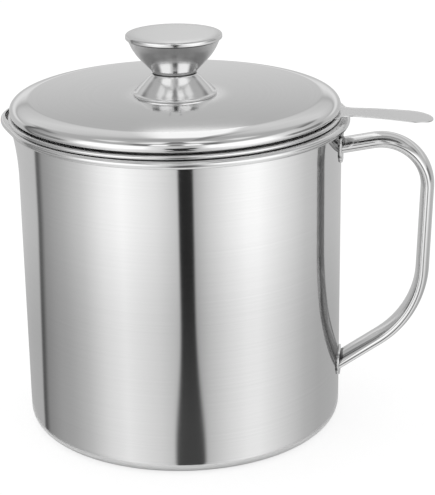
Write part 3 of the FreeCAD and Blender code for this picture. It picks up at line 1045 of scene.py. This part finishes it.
    def wires(self, flip: int) -> Surface:
        """Wires one way: thin square tubes that follow the bowl and wave over and under.

        Wire i lies at i pitches across; along it the place is stretched so that it ends at the
        bowl's edge, and its height swings as the cosine of the crossing's number.

        Args:
            flip: 1 for wires along X that start over, -1 for wires along Y that start under.

        Returns:
            The closed surface of all the wires.
        """
        reach = self.collar_radius - self.sheet - self.wire_margin
        count = int(reach / self.wire_pitch)
        line = np.arange(-count, count + 1)
        chord = np.sqrt(reach**2 - (line * self.wire_pitch) ** 2)
        steps = np.arange(-2 * count - 2, 2 * count + 3)
        along = steps * self.wire_pitch / 2
        inside = np.abs(along)[None, :] <= chord[:, None]
        across = np.broadcast_to((line * self.wire_pitch)[:, None], inside.shape)
        place = np.broadcast_to(along[None, :], inside.shape)
        radius = np.hypot(across, place)
        wave = flip * self.wire_wave * np.cos(np.pi * (steps[None, :] / 2 + line[:, None]))
        height = self.bowl_height(radius) + wave
        turn = np.arange(4) * TURN / 4 + TURN / 8
        ring = self.wire * np.stack([np.cos(turn), np.sin(turn)], axis=1)
        grid = np.empty(inside.shape + (4, 3))
        first, second = (0, 1) if flip > 0 else (1, 0)
        grid[..., first] = place[..., None]
        grid[..., second] = across[..., None] + flip * ring[:, 0]
        grid[..., 2] = height[..., None] + ring[:, 1]
        numbers = np.arange(inside.size).reshape(inside.shape)[..., None] * 4 + np.arange(4)
        joins = inside[:, :-1] & inside[:, 1:]
        low, high = numbers[:, :-1][joins], numbers[:, 1:][joins]
        around = [low, np.roll(low, -1, axis=1), np.roll(high, -1, axis=1), high]
        tubes = np.stack(around, axis=-1).reshape(-1, 4)
        starts = inside & ~np.roll(inside, 1, axis=1)
        stops = inside & ~np.roll(inside, -1, axis=1)
        caps = np.concatenate([numbers[starts][:, ::-1], numbers[stops]])
        quads = np.concatenate([tubes, caps])[:, ::-1]
        used, quads = np.unique(quads, return_inverse=True)
        return Surface(grid.reshape(-1, 3)[used], quads.reshape(-1, 4), no_faces(3))

    def edge_band(self) -> Surface:
        """Band that folds over the woven bowl's edge and is spot-welded inside the collar.

        Returns:
            The closed surface.
        """
        outer = self.collar_radius - self.sheet
        low = self.collar_bottom - self.band_fold
        high = self.collar_bottom + self.band_height
        corners = [
            (outer - 1.5, low + 0.2, 0.3),
            (outer - 0.5, low, 0.3),
            (outer, low + 0.5, 0.3),
            (outer, high, 0.12),
            (outer - 0.5, high, 0.12),
            (outer - 0.55, low + 1.6, 0.3),
            (outer - 1.3, low + 0.9, 0.2),
        ]
        profile = refined(rounded(corners, loop=True, arc_step=20.0), longest=2.0, loop=True)
        return spun(profile, self.columns, True)

    def build(self) -> None:
        """Makes the ring with its tab, the woven bowl and its edge band."""
        rim = joined([self.ring(), self.tab()]).moved(x=AXIS_SHIFT)
        weave = joined([self.wires(1), self.wires(-1)]).moved(x=AXIS_SHIFT)
        band = self.edge_band().moved(x=AXIS_SHIFT)
        placed("strainer_ring_and_tab", rim, STRAINER_STEEL, "strainer", ["strainer_rim"])
        placed("strainer_woven_bowl", weave, WIRE_STEEL, "strainer", ["strainer_mesh"])
        placed("strainer_edge_band", band, STRAINER_STEEL, "strainer", ["strainer_mesh"])


# ---- lid ----------------------------------------------------------------------------------------
@dataclass
class Lid:
    """Pressed lid: flat disc, shoulder that rounds over into the rolled edge."""

    top: float = 126.12
    sheet: float = 0.5
    hole: float = 2.2
    disc_radius: float = 54.5       # where the underside leaves the disc
    shoulder_start: float = 54.95   # where the shoulder's own curve starts on top
    under_inset: float = 0.25       # how far inside the top's shoulder the underside's lies
    first_slope: float = 9.0        # degrees, where the shoulder leaves the disc
    easing: float = 2.1             # how late along the shoulder the slope grows
    blend: float = 1.4              # how wide the disc bends into that slope
    radius: float = 61.0
    roll: float = 1.4               # radius of the rolled edge's tube
    roll_top: float = 123.31
    columns: int = 288

    def blend_drop(self) -> float:
        """Height lost where the disc bends into the shoulder: half the width times the end slope."""
        return self.blend * float(np.tan(np.radians(self.first_slope))) / 2

    def shoulder(self) -> np.ndarray:
        """Round shoulder, from the disc's edge out and down to the rolled edge's widest line.

        The slope grows from its first value to upright with the length along the shoulder raised to
        the easing; radius and height are the running sums of its cosine and sine, each scaled to
        reach the end.

        Returns:
            (radius, height) points.
        """
        share = np.linspace(0.0, 1.0, 36)
        slope = np.radians(self.first_slope + (90.0 - self.first_slope) * share**self.easing)
        middle = (slope[1:] + slope[:-1]) / 2
        out = np.concatenate([[0.0], np.cumsum(np.cos(middle))])
        down = np.concatenate([[0.0], np.cumsum(np.sin(middle))])
        first = np.array([self.shoulder_start, self.top - self.blend_drop()])
        last = np.array([self.radius, self.roll_top - self.roll])
        return first + np.stack([out / out[-1], down / down[-1]], axis=1) * (last - first)

    def profile(self) -> np.ndarray:
        """Closed section, out along the underside and back over the top.

        The disc bends down into the shoulder's first slope as a parabola.

        Returns:
            (radius, height) points.
        """
        over = self.shoulder()[::-1]
        under = self.shoulder() - np.array([self.under_inset, self.sheet])
        foot = self.roll_top - 2 * self.roll
        middle = self.radius - self.roll
        turn = np.radians(np.arange(-165.0, -4.0, 8.0))
        centre = np.array([middle, foot + self.roll])
        bead = centre + self.roll * np.stack([np.cos(turn), np.sin(turn)], axis=1)
        below = self.top - self.sheet
        underside = [
            (self.hole, below),
            (self.disc_radius - 0.7, below),
            (self.disc_radius - 0.1, below - 0.2),
        ]
        share = np.linspace(1.0, 0.0, 9)[1:]
        start = self.shoulder_start - self.blend
        disc = np.stack([start + self.blend * share, self.top - self.blend_drop() * share**2], axis=1)
        inner = under[under[:, 0] < self.radius - 2 * self.roll - 0.1]
        runs = [np.array(underside), inner, bead, over, disc, np.array([(self.hole, self.top)])]
        return refined(np.concatenate(runs), longest=3.0, loop=True)

    def build(self) -> None:
        """Makes the shell."""
        shell = spun(self.profile(), self.columns, True).moved(x=AXIS_SHIFT)
        placed("lid_disc", shell, LID_STEEL, "lid", ["lid_shell"])


# ---- knob ---------------------------------------------------------------------------------------
@dataclass
class Knob:
    """Spool knob: skirt and bell spun from sheet, a crowned cap, a screw and washer from below."""

    foot: float = 126.12
    waist: float = 134.02
    bell_top: float = 147.0
    top: float = 148.82
    foot_radius: float = 15.4
    groove: float = 0.55            # height of the groove at the waist, painted dark as shade
    cap_gap: float = 0.42           # height of the gap under the cap's edge, painted dark as shade
    cap_edge: float = 0.75          # radius of the cap's rolled edge
    bell_radius: float = 17.2
    cap_radius: float = 17.7
    sheet: float = 0.8
    bore: float = 2.2
    lid_sheet: float = 0.5
    washer_hole: float = 2.15
    washer_radius: float = 5.5
    washer_sheet: float = 0.8
    shank: float = 2.0              # radius of the screw's shank and of the bush's bore
    shank_end: float = 7.3          # how far above the waist it ends
    head_radius: float = 3.8
    head_height: float = 2.4
    socket: float = 1.35            # half the width of the head's socket across flats
    socket_depth: float = 1.3
    bush_corner: float = 4.0        # from the bush's axis to its corners
    bush_height: float = 8.0
    skirt_line: Sequence[tuple] = field(default_factory=lambda: (
        (14.75, 127.25), (13.6, 128.55), (12.1, 130.1), (10.45, 131.8), (9.2, 133.05), (8.55, 133.8)))
    bell_line: Sequence[tuple] = field(default_factory=lambda: (
        (8.35, 134.6), (8.5, 135.1), (9.35, 136.0), (11.1, 137.8), (13.45, 140.4), (15.35, 143.2),
        (16.35, 145.3), (16.8, 146.3), (17.0, 146.7)))
    columns: int = 192
    small_columns: int = 96         # points once round the washer, screw and bush

    def skirt(self) -> Surface:
        """Skirt: a small flange on the lid, then a cone that narrows to the waist.

        Returns:
            The closed surface.
        """
        foot = [
            (self.bore, self.foot + 6.9),
            (7.6, self.foot + 6.9, 0.3),
            (13.8, self.foot + 0.9, 0.5),
            (14.2, self.foot + 0.02, 0.1),
            (self.foot_radius, self.foot + 0.02, 0.15),
            (self.foot_radius, self.foot + 0.75, 0.3),
            (14.95, self.foot + 1.0, 0.12),
        ]
        head = [(8.45, self.waist, 0.12), (self.bore, self.waist)]
        cone = smooth_through(self.skirt_line, steps=6)
        runs = [rounded(foot, arc_step=15.0), cone, np.array([head[0][:2], head[1][:2]])]
        return spun(refined(np.concatenate(runs), longest=1.5, loop=True), self.columns, True)

    def bell(self) -> Surface:
        """Bell: rounded away at the waist to leave a groove, flared towards the cap.

        Returns:
            The closed surface.
        """
        side = smooth_through(self.bell_line, steps=6)
        step = self.waist + self.groove
        base = np.array([(self.bore, self.waist), (7.5, self.waist), (7.5, step - 0.03), (8.3, step)])
        inside = side[side[:, 1] > self.waist + 1.4][::-1] - np.array([1.0, -0.1])
        floor = np.array([(self.bore, self.waist + self.sheet)])
        under_cap = self.bell_top - self.cap_gap
        rim = np.array([
            (self.bell_radius - 0.35, under_cap),
            (self.bell_radius - 0.4, self.bell_top - 0.1),
            (self.bell_radius - 1.0, self.bell_top - 0.1),
        ])
        runs = [base, side, rim, inside[inside[:, 1] < self.bell_top - 0.2], floor]
        return spun(refined(np.concatenate(runs), longest=1.5, loop=True), self.columns, True)

    def cap(self) -> Surface:
        """Cap: rolled edge that hangs just below the bell's rim, and a crown that flattens inwards.

        The crown's height falls with the twelfth power of the radius.

        Returns:
            The closed surface.
        """
        foot = self.bell_top - 0.12
        edge_top = foot + 2 * self.cap_edge
        edge = rounded([
            (0.0, self.bell_top - 0.05),
            (self.bell_radius - 0.4, self.bell_top - 0.05),
            (self.bell_radius - 0.4, foot, 0.02),
            (self.cap_radius, foot, 0.25),
            (self.cap_radius, edge_top, self.cap_edge),
            (self.cap_radius - 0.6, edge_top + 0.15),
        ], arc_step=12.0)
        radius = np.linspace(self.cap_radius - 0.75, 0.0, 28)
        rise = self.top - edge_top - 0.15
        crown = self.top - rise * (radius / (self.cap_radius - 0.6)) ** 12
        profile = np.concatenate([edge, np.stack([radius, crown], axis=1)])
        return spun(refined(profile, longest=1.6)[1:-1], self.columns, False)

    def washer(self) -> Surface:
        """Washer under the lid.

        Returns:
            The closed surface.
        """
        top = self.foot - self.lid_sheet
        low = top - self.washer_sheet
        corners = [
            (self.washer_hole, low, 0.12),
            (self.washer_radius, low, 0.2),
            (self.washer_radius, top, 0.2),
            (self.washer_hole, top, 0.12),
        ]
        profile = refined(rounded(corners, loop=True), longest=1.2, loop=True)
        return spun(profile, self.small_columns, True)

    def screw(self) -> Surface:
        """Button-headed screw, its head down, with a six-sided socket.

        Returns:
            The closed surface.
        """
        head_top = self.foot - self.lid_sheet - self.washer_sheet
        head_foot = head_top - self.head_height
        shank_top = self.waist + self.shank_end
        on_axis = 0.01
        outside = rounded([
            (1.75, head_foot, 0.2),
            (3.0, head_foot, 0.5),
            (self.head_radius, head_foot + 1.0, 0.5),
            (self.head_radius, head_top, 0.15),
            (self.shank, head_top, 0.1),
            (self.shank, shank_top - 0.2, 0.3),
            (1.4, shank_top),
            (on_axis, shank_top),
        ], arc_step=18.0)
        socket_end = head_foot + self.socket_depth
        inside = np.array([
            (on_axis, socket_end),
            (self.socket, socket_end),
            (self.socket, head_foot + 0.12),
        ])
        profile = refined(np.concatenate([inside, outside]), longest=1.5, hold=0.05)
        in_socket = (profile[:, 0] <= self.socket + 1e-6) & (profile[:, 1] < socket_end + 0.01)
        return spun(profile, self.small_columns, False, hexagon_pull(profile, in_socket))

    def insert(self) -> Surface:
        """Six-sided threaded bush inside the bell.

        Returns:
            The closed surface.
        """
        low = self.waist + self.sheet
        high = low + self.bush_height
        half_width = self.bush_corner * np.cos(TURN / 12)
        profile = np.array([(self.shank, low), (half_width, low), (half_width, high), (self.shank, high)])
        six_sided = hexagon_pull(profile, profile[:, 0] == half_width)
        return spun(profile, self.small_columns, True, six_sided)

    def in_gap(self, shape: Surface) -> np.ndarray:
        """Finds the groove at the waist and the gap under the cap's edge, whose faces get painted shade.

        Args:
            shape: the bell's surface, made of quads alone.

        Returns:
            True for each face that lies in one of them.
        """
        heights = shape.points[shape.quads, 2]
        low, high = heights.min(axis=1), heights.max(axis=1)
        at_waist = (low > self.waist - 0.01) & (high < self.waist + self.groove)
        at_cap = (high > self.bell_top - self.cap_gap) & (shape.quad_radii() > self.bell_radius - 0.6)
        return at_waist | at_cap

    def on_cap_edge(self, shape: Surface) -> np.ndarray:
        """Finds the cap's polished edge.

        Args:
            shape: the cap's surface.

        Returns:
            True for each face of the edge; the fans at the poles have none.
        """
        edge = np.zeros(len(shape.quads) + len(shape.triangles), bool)
        edge[:len(shape.quads)] = shape.quad_radii() > self.cap_radius - 0.22
        return edge

    def build(self) -> None:
        """Makes the knob's pieces.

        The skirt and the bell are seen in other steel's gloss. The cap and the fasteners are left
        out of it, where a satin lid would show no more than a blur of them.
        """
        bell, cap = self.bell(), self.cap()
        # the groove and the gap under the cap get the near-black steel as painted shade
        painted_gap_shade, edge = (SHADED_GAP_STEEL, self.in_gap(bell)), (KNOB_STEEL, self.on_cap_edge(cap))
        knob, fastener = "knob_steel", "hardware_steel"
        made = (
            ("knob_lower_cone", self.skirt(), KNOB_STEEL, knob, "knob_skirt", None, True),
            ("knob_upper_bell", bell, KNOB_STEEL, knob, "knob_bell", painted_gap_shade, True),
            ("knob_crowned_cap", cap, CAP_STEEL, knob, "knob_cap", edge, False),
            ("knob_threaded_bush", self.insert(), FASTENER_STEEL, fastener, "knob_insert", None, False),
            ("knob_socket_screw", self.screw(), FASTENER_STEEL, fastener, "knob_screw", None, False),
            ("knob_flat_washer", self.washer(), FASTENER_STEEL, fastener, "knob_washer", None, False),
        )
        for name, shape, finish, slot, node, inner, in_gloss in made:
            piece = placed(name, shape.moved(x=AXIS_SHIFT), finish, "lid", [node], inner)
            piece.visible_glossy = in_gloss


# ---- studio -------------------------------------------------------------------------------------
def linear(shown: float) -> float:
    """Light that shows as this share of white."""
    return shown**2.2


def linear_stops(stops: Sequence[tuple]) -> list:
    """Stops of a ramp whose shares of white are made linear greys."""
    return [(place, linear(shown)) for place, shown in stops]


@dataclass(frozen=True)
class Direction:
    """Where a ray heads from the object: sockets of the world's node tree."""

    right: bpy.types.NodeSocket         # its share to the camera's right
    near: bpy.types.NodeSocket          # its share towards the camera
    up: bpy.types.NodeSocket            # its share upwards
    round_way: bpy.types.NodeSocket     # degrees round from the camera, more to the right
    away: bpy.types.NodeSocket          # the same degrees, counted alike to both sides
    height: bpy.types.NodeSocket        # degrees above the horizon


@dataclass(frozen=True)
class Board:
    """A soft-edged board for the steel to reflect, alike on both sides of the camera.

    Each way it has four edges in degrees: where it begins, is full, is still full, and has ended.
    """

    height: tuple                       # above the horizon
    shown: float                        # share of white
    away: tuple = (-2, -1, 181, 182)    # round from the camera, by default all the way

    def laid(self, wiring: Wiring, way: Direction, boards: bpy.types.NodeSocket) -> bpy.types.NodeSocket:
        """Lays the board over what is there so far.

        Args:
            wiring: the world's node tree.
            way: where the ray heads.
            boards: the light so far.

        Returns:
            The light with this board.
        """
        covered = wiring.maths("MULTIPLY", wiring.within(way.away, self.away),
                               wiring.within(way.height, self.height))
        return wiring.mixed(covered, boards, linear(self.shown))


@dataclass
class Studio:
    """Pale floor, white surround, soft boards for the steel to reflect, and the camera."""

    eye: tuple = (79.765, -567.558, 270.929)
    forward: tuple = (-0.10909, 0.93500, -0.33746)
    upward: tuple = (-0.02509, 0.33679, 0.94125)
    lens: float = 116.17
    turn: float = np.radians(8.0)       # the camera stands this far round towards the handle
    level: float = 1.22                 # strength of what the steel reflects
    floor_grey: float = 0.86
    floor_glow: float = 1.12            # strength of the plain light that whitens it to the camera
    glow_share: float = 0.68            # how much of that light covers its shadow
    floor_seen: tuple = (0.0535, 0.0545, 0.060, 0.066)  # metres from the axis where steel sees it
    floor_edge: float = 4.0             # half the floor's width, in metres
    lamp_size: float = 0.9
    lamp_power: float = 1.5
    lamp_place: tuple = (-0.25, 0.1, 1.1)
    lamp_turn: tuple = (-5.0, -12.0, 0.0)   # degrees about X, Y and Z

    # the dark upright stripe: degrees round from the camera, and the edges of its soft side
    stripe_middle: float = 3.2
    stripe_side: tuple = (4.3, 6.2)
    # changes with the height: degrees where each starts and ends, value before it and after it
    stripe_low: tuple = (-22.0, -27.0, 1.0, 0.48)       # factor on the degrees beside the stripe
    stripe_level: tuple = (-12.0, -6.0, 1.0, 0.5)       # and a second such factor
    stripe_end: tuple = (7.0, 12.0, 1.0, 0.0)           # how strong the stripe is
    stripe_shown: tuple = (-20.0, -27.0, 0.17, 0.29)    # its share of white
    lean: tuple = (-18.5, -25.0, 0.0, 7.0)              # degrees that the far left boards lean
    low_light: tuple = (-18.0, -23.0, 1.0, 0.81)        # how strong the boards are low down
    lean_side: tuple = (-85, -105)                      # degrees round between which the lean sets in

    # (degrees round from the camera, share of white) of the boards about the horizon
    around: tuple = (
        (-180, 0.72), (-124, 0.715), (-121, 0.37), (-118, 0.37), (-113, 0.56), (-92, 0.67), (-74, 0.78),
        (-57, 0.92), (-42, 0.985), (-18, 0.885), (-5, 0.79), (9, 0.68), (18, 0.80), (32, 0.915), (46, 0.99),
        (55, 0.995), (78, 0.875), (98, 0.76), (115, 0.71), (180, 0.72),
    )
    # laid over those in this order
    lower_boards: tuple = (
        Board((26, 31, 41, 49), 0.46, (100, 109, 130, 138)),    # flags towards the back
        Board((-6, -1, 26, 34), 1.04, (15, 25, 62, 78)),        # bright, low at the front
        Board((32, 42, 91, 92), 0.66),                          # everything overhead
        Board((-10, -6, 8, 12), 0.48, (74, 86, 112, 122)),      # dark, at the sides
        Board((62, 67, 79, 84), 0.92, (12, 22, 46, 60)),        # bright, high at the front
        Board((64, 70, 80, 86), 0.42, (-2, -1, 10, 20)),        # the dark gap between that pair
        Board((38, 44, 53, 58), 0.40, (20, 25, 35, 42)),        # dark, outside the next pair
        Board((38, 44, 53, 58), 1.00, (5, 9, 19, 23)),          # white, halfway up at the front
        Board((38, 44, 53, 58), 0.50, (-2, -1, 3, 6)),          # the dark gap between that pair
    )
    # (degrees above the horizon, share of white) of the wall and ceiling behind the object
    behind: tuple = (
        (0, 0.80), (11, 0.84), (12, 0.81), (13, 0.785), (14.2, 0.725), (15.3, 0.66), (18, 0.73), (30, 0.80),
        (50, 0.76), (66, 0.64), (90, 0.58),
    )
    behind_round: tuple = (120, 140)        # degrees round between which that sets in
    behind_height: tuple = (2, 9)           # and degrees above the horizon
    side_board: Board = Board((53, 58, 66, 71), 0.86, (58, 66, 86, 96))     # laid over both
    # laid over those: edges across, edges in degrees above the horizon, share of white
    strip: tuple = ((-0.13, -0.03, 0.13, 0.18), (15.43, 15.53, 52, 64), 0.97)
    gutter: tuple = ((0.08, 0.095, 0.14, 0.17), (30, 66, 80, 88), 0.52)
    underneath: tuple = (-42.0, -62.0)      # degrees between which the light from below sets in
    underneath_shown: float = 0.86          # its share of white

    def direction(self, wiring: Wiring) -> Direction:
        """Works out where a ray heads, from its shares along X, Y and Z.

        Args:
            wiring: the world's node tree.

        Returns:
            The direction's shares and angles.
        """
        parts = wiring.add("ShaderNodeSeparateXYZ")
        wiring.feed(wiring.add("ShaderNodeTexCoord").outputs["Generated"], parts.inputs[0])
        x, y, up = parts.outputs
        sine, cosine = float(np.sin(self.turn)), float(np.cos(self.turn))
        right = wiring.maths("MULTIPLY_ADD", x, cosine, wiring.maths("MULTIPLY", y, sine))
        near = wiring.maths("MULTIPLY_ADD", x, sine, wiring.maths("MULTIPLY", y, -cosine))
        round_way = wiring.maths("DEGREES", wiring.maths("ARCTAN2", right, near))
        height = wiring.maths("DEGREES", wiring.maths("ARCSINE", up))
        return Direction(right, near, up, round_way, wiring.maths("ABSOLUTE", round_way), height)

    def horizon(self, wiring: Wiring, way: Direction) -> bpy.types.NodeSocket:
        """Boards about the horizon, with a dark upright stripe beside the camera.

        Low on the far left the boards lean to the right. The stripe is wider low down and at the
        horizon, and ends above it. Everything is a little darker low down.

        Args:
            wiring: the world's node tree.
            way: where the ray heads.

        Returns:
            The light.
        """
        lean = wiring.maths("MULTIPLY", wiring.spread(way.round_way, *self.lean_side),
                            wiring.spread(way.height, *self.lean, smooth=False))
        boards = wiring.ramp(wiring.maths("ADD", way.round_way, lean), linear_stops(self.around))
        beside = wiring.maths("ABSOLUTE", wiring.maths("SUBTRACT", way.round_way, self.stripe_middle))
        drawn_in = wiring.maths("MULTIPLY", wiring.spread(way.height, *self.stripe_low),
                                wiring.spread(way.height, *self.stripe_level))
        stripe = wiring.spread(wiring.maths("MULTIPLY", beside, drawn_in), *self.stripe_side, 1.0, 0.0)
        stripe = wiring.maths("MULTIPLY", stripe, wiring.spread(way.height, *self.stripe_end))
        start, end, before, after = self.stripe_shown
        dark = wiring.spread(way.height, start, end, linear(before), linear(after))
        boards = wiring.mixed(stripe, boards, dark)
        return wiring.mixed(wiring.spread(way.height, *self.low_light), 0.0, boards)

    def back_lights(self, wiring: Wiring, way: Direction,
                    boards: bpy.types.NodeSocket) -> bpy.types.NodeSocket:
        """Lays a bright strip and a darker gutter over the wall and ceiling behind.

        The strip's place is the direction's share to the right over its share upwards, so that its
        sides run straight across a level mirror; the gutter's is the share to the right alone.

        Args:
            wiring: the world's node tree.
            way: where the ray heads.
            boards: the light so far.

        Returns:
            The light with both.
        """
        behind = wiring.spread(way.near, 0.0, -0.05)
        sideways = wiring.maths("DIVIDE", way.right, wiring.maths("MAXIMUM", way.up, 0.01))
        for place, (across, height, shown) in ((sideways, self.strip), (way.right, self.gutter)):
            light = wiring.maths("MULTIPLY", wiring.within(place, across),
                                 wiring.within(way.height, height))
            boards = wiring.mixed(wiring.maths("MULTIPLY", light, behind), boards, linear(shown))
        return boards

    def surround(self) -> None:
        """World: white to the camera, plain light on matt things, soft boards to the steel."""
        world = bpy.data.worlds.new("studio")
        bpy.context.scene.world = world
        world.use_nodes = True
        world.node_tree.nodes.clear()
        wiring = Wiring(world.node_tree)
        way = self.direction(wiring)
        boards = self.horizon(wiring, way)
        for board in self.lower_boards:
            boards = board.laid(wiring, way, boards)
        behind = wiring.ramp(way.height, linear_stops(self.behind))
        at_back = wiring.maths("MULTIPLY", wiring.spread(way.away, *self.behind_round),
                               wiring.spread(way.height, *self.behind_height))
        boards = wiring.mixed(at_back, boards, behind)
        boards = self.side_board.laid(wiring, way, boards)
        boards = self.back_lights(wiring, way, boards)
        below = wiring.spread(way.height, *self.underneath)
        boards = wiring.mixed(below, boards, linear(self.underneath_shown))

        seen = wiring.add("ShaderNodeLightPath").outputs["Is Glossy Ray"]
        glossy = wiring.add("ShaderNodeBackground")
        wiring.feed(boards, glossy.inputs["Color"])
        glossy.inputs["Strength"].default_value = self.level
        plain = wiring.add("ShaderNodeBackground")
        wiring.feed(1.0, plain.inputs["Color"])
        result = wiring.add("ShaderNodeOutputWorld").inputs["Surface"]
        wiring.feed(wiring.blended(seen, plain.outputs[0], glossy.outputs[0]), result)

    def floor_material(self) -> bpy.types.Material:
        """Matt white floor that keeps a faint shadow and is open from below.

        Steel sees only a ring of it, close round the cup's foot.

        Returns:
            The material.
        """
        made = bpy.data.materials.new("floor_white")
        made.use_nodes = True
        made.node_tree.nodes.clear()
        wiring = Wiring(made.node_tree)
        matt = wiring.add("ShaderNodeBsdfDiffuse")
        wiring.feed(self.floor_grey, matt.inputs["Color"])
        glow = wiring.add("ShaderNodeEmission")
        glow.inputs["Strength"].default_value = self.floor_glow
        clear = wiring.add("ShaderNodeBsdfTransparent")
        seen = wiring.add("ShaderNodeLightPath").outputs
        direct = wiring.maths("MULTIPLY", seen["Is Camera Ray"], self.glow_share)
        paper = wiring.blended(direct, matt.outputs[0], glow.outputs[0])
        reach = wiring.add("ShaderNodeVectorMath")
        reach.operation = "LENGTH"
        wiring.feed(wiring.add("ShaderNodeTexCoord").outputs["Object"], reach.inputs[0])
        open_to, covered_from, covered_to, open_from = self.floor_seen
        far = wiring.spread(reach.outputs["Value"], covered_to, open_from)
        under_foot = wiring.spread(reach.outputs["Value"], open_to, covered_from, 1.0, 0.0)
        gone = wiring.maths("MULTIPLY", wiring.maths("MAXIMUM", far, under_foot), seen["Is Glossy Ray"])
        under = wiring.add("ShaderNodeNewGeometry").outputs["Backfacing"]
        gone = wiring.maths("MAXIMUM", gone, under)
        result = wiring.add("ShaderNodeOutputMaterial").inputs["Surface"]
        wiring.feed(wiring.blended(gone, paper, clear.outputs[0]), result)
        return made

    def floor(self) -> None:
        """Floor: a wide square sheet at the height the cup stands on."""
        mesh = bpy.data.meshes.new("studio_floor")
        edge = self.floor_edge
        corners = [(-edge, -edge, 0.0), (edge, -edge, 0.0), (edge, edge, 0.0), (-edge, edge, 0.0)]
        mesh.from_pydata(corners, [], [(0, 1, 2, 3)])
        mesh.materials.append(self.floor_material())
        sheet = bpy.data.objects.new("studio_floor", mesh)
        bpy.context.scene.collection.objects.link(sheet)

    def lamp(self) -> None:
        """One wide soft lamp overhead, for the faint shadow round the cup's foot."""
        light = bpy.data.lights.new("overhead_softbox", "AREA")
        light.shape = "DISK"
        light.size = self.lamp_size
        light.energy = self.lamp_power
        lamp = bpy.data.objects.new("overhead_softbox", light)
        lamp.location = self.lamp_place
        lamp.rotation_euler = np.radians(self.lamp_turn)
        lamp.visible_glossy = False
        bpy.context.scene.collection.objects.link(lamp)

    def camera(self) -> None:
        """Camera at the viewing angle: its axes are the columns of its matrix."""
        forward, upward = np.array(self.forward), np.array(self.upward)
        right = np.cross(forward, upward)
        columns = np.stack([right, upward, -forward, np.array(self.eye) * MM], axis=1)
        data = bpy.data.cameras.new("camera")
        data.lens = self.lens
        data.sensor_width = 36.0
        data.clip_start, data.clip_end = 0.01, 50.0
        camera = bpy.data.objects.new("camera", data)
        camera.matrix_world = Matrix(np.vstack([columns, [0.0, 0.0, 0.0, 1.0]]).tolist())
        bpy.context.scene.collection.objects.link(camera)
        bpy.context.scene.camera = camera

    def build(self) -> None:
        """Makes the surround, floor, lamp and camera."""
        self.surround()
        self.floor()
        self.lamp()
        self.camera()


def main() -> None:
    """Builds the container, then the studio round it."""
    logging.basicConfig(level=logging.INFO, format="%(message)s")
    for part in (Cup(), Handle(), Strainer(), Lid(), Knob(), Studio()):
        log.info("building %s", type(part).__name__)
        part.build()
    bpy.context.scene.view_settings.view_transform = "Standard"


if __name__ == "__main__":
    main()
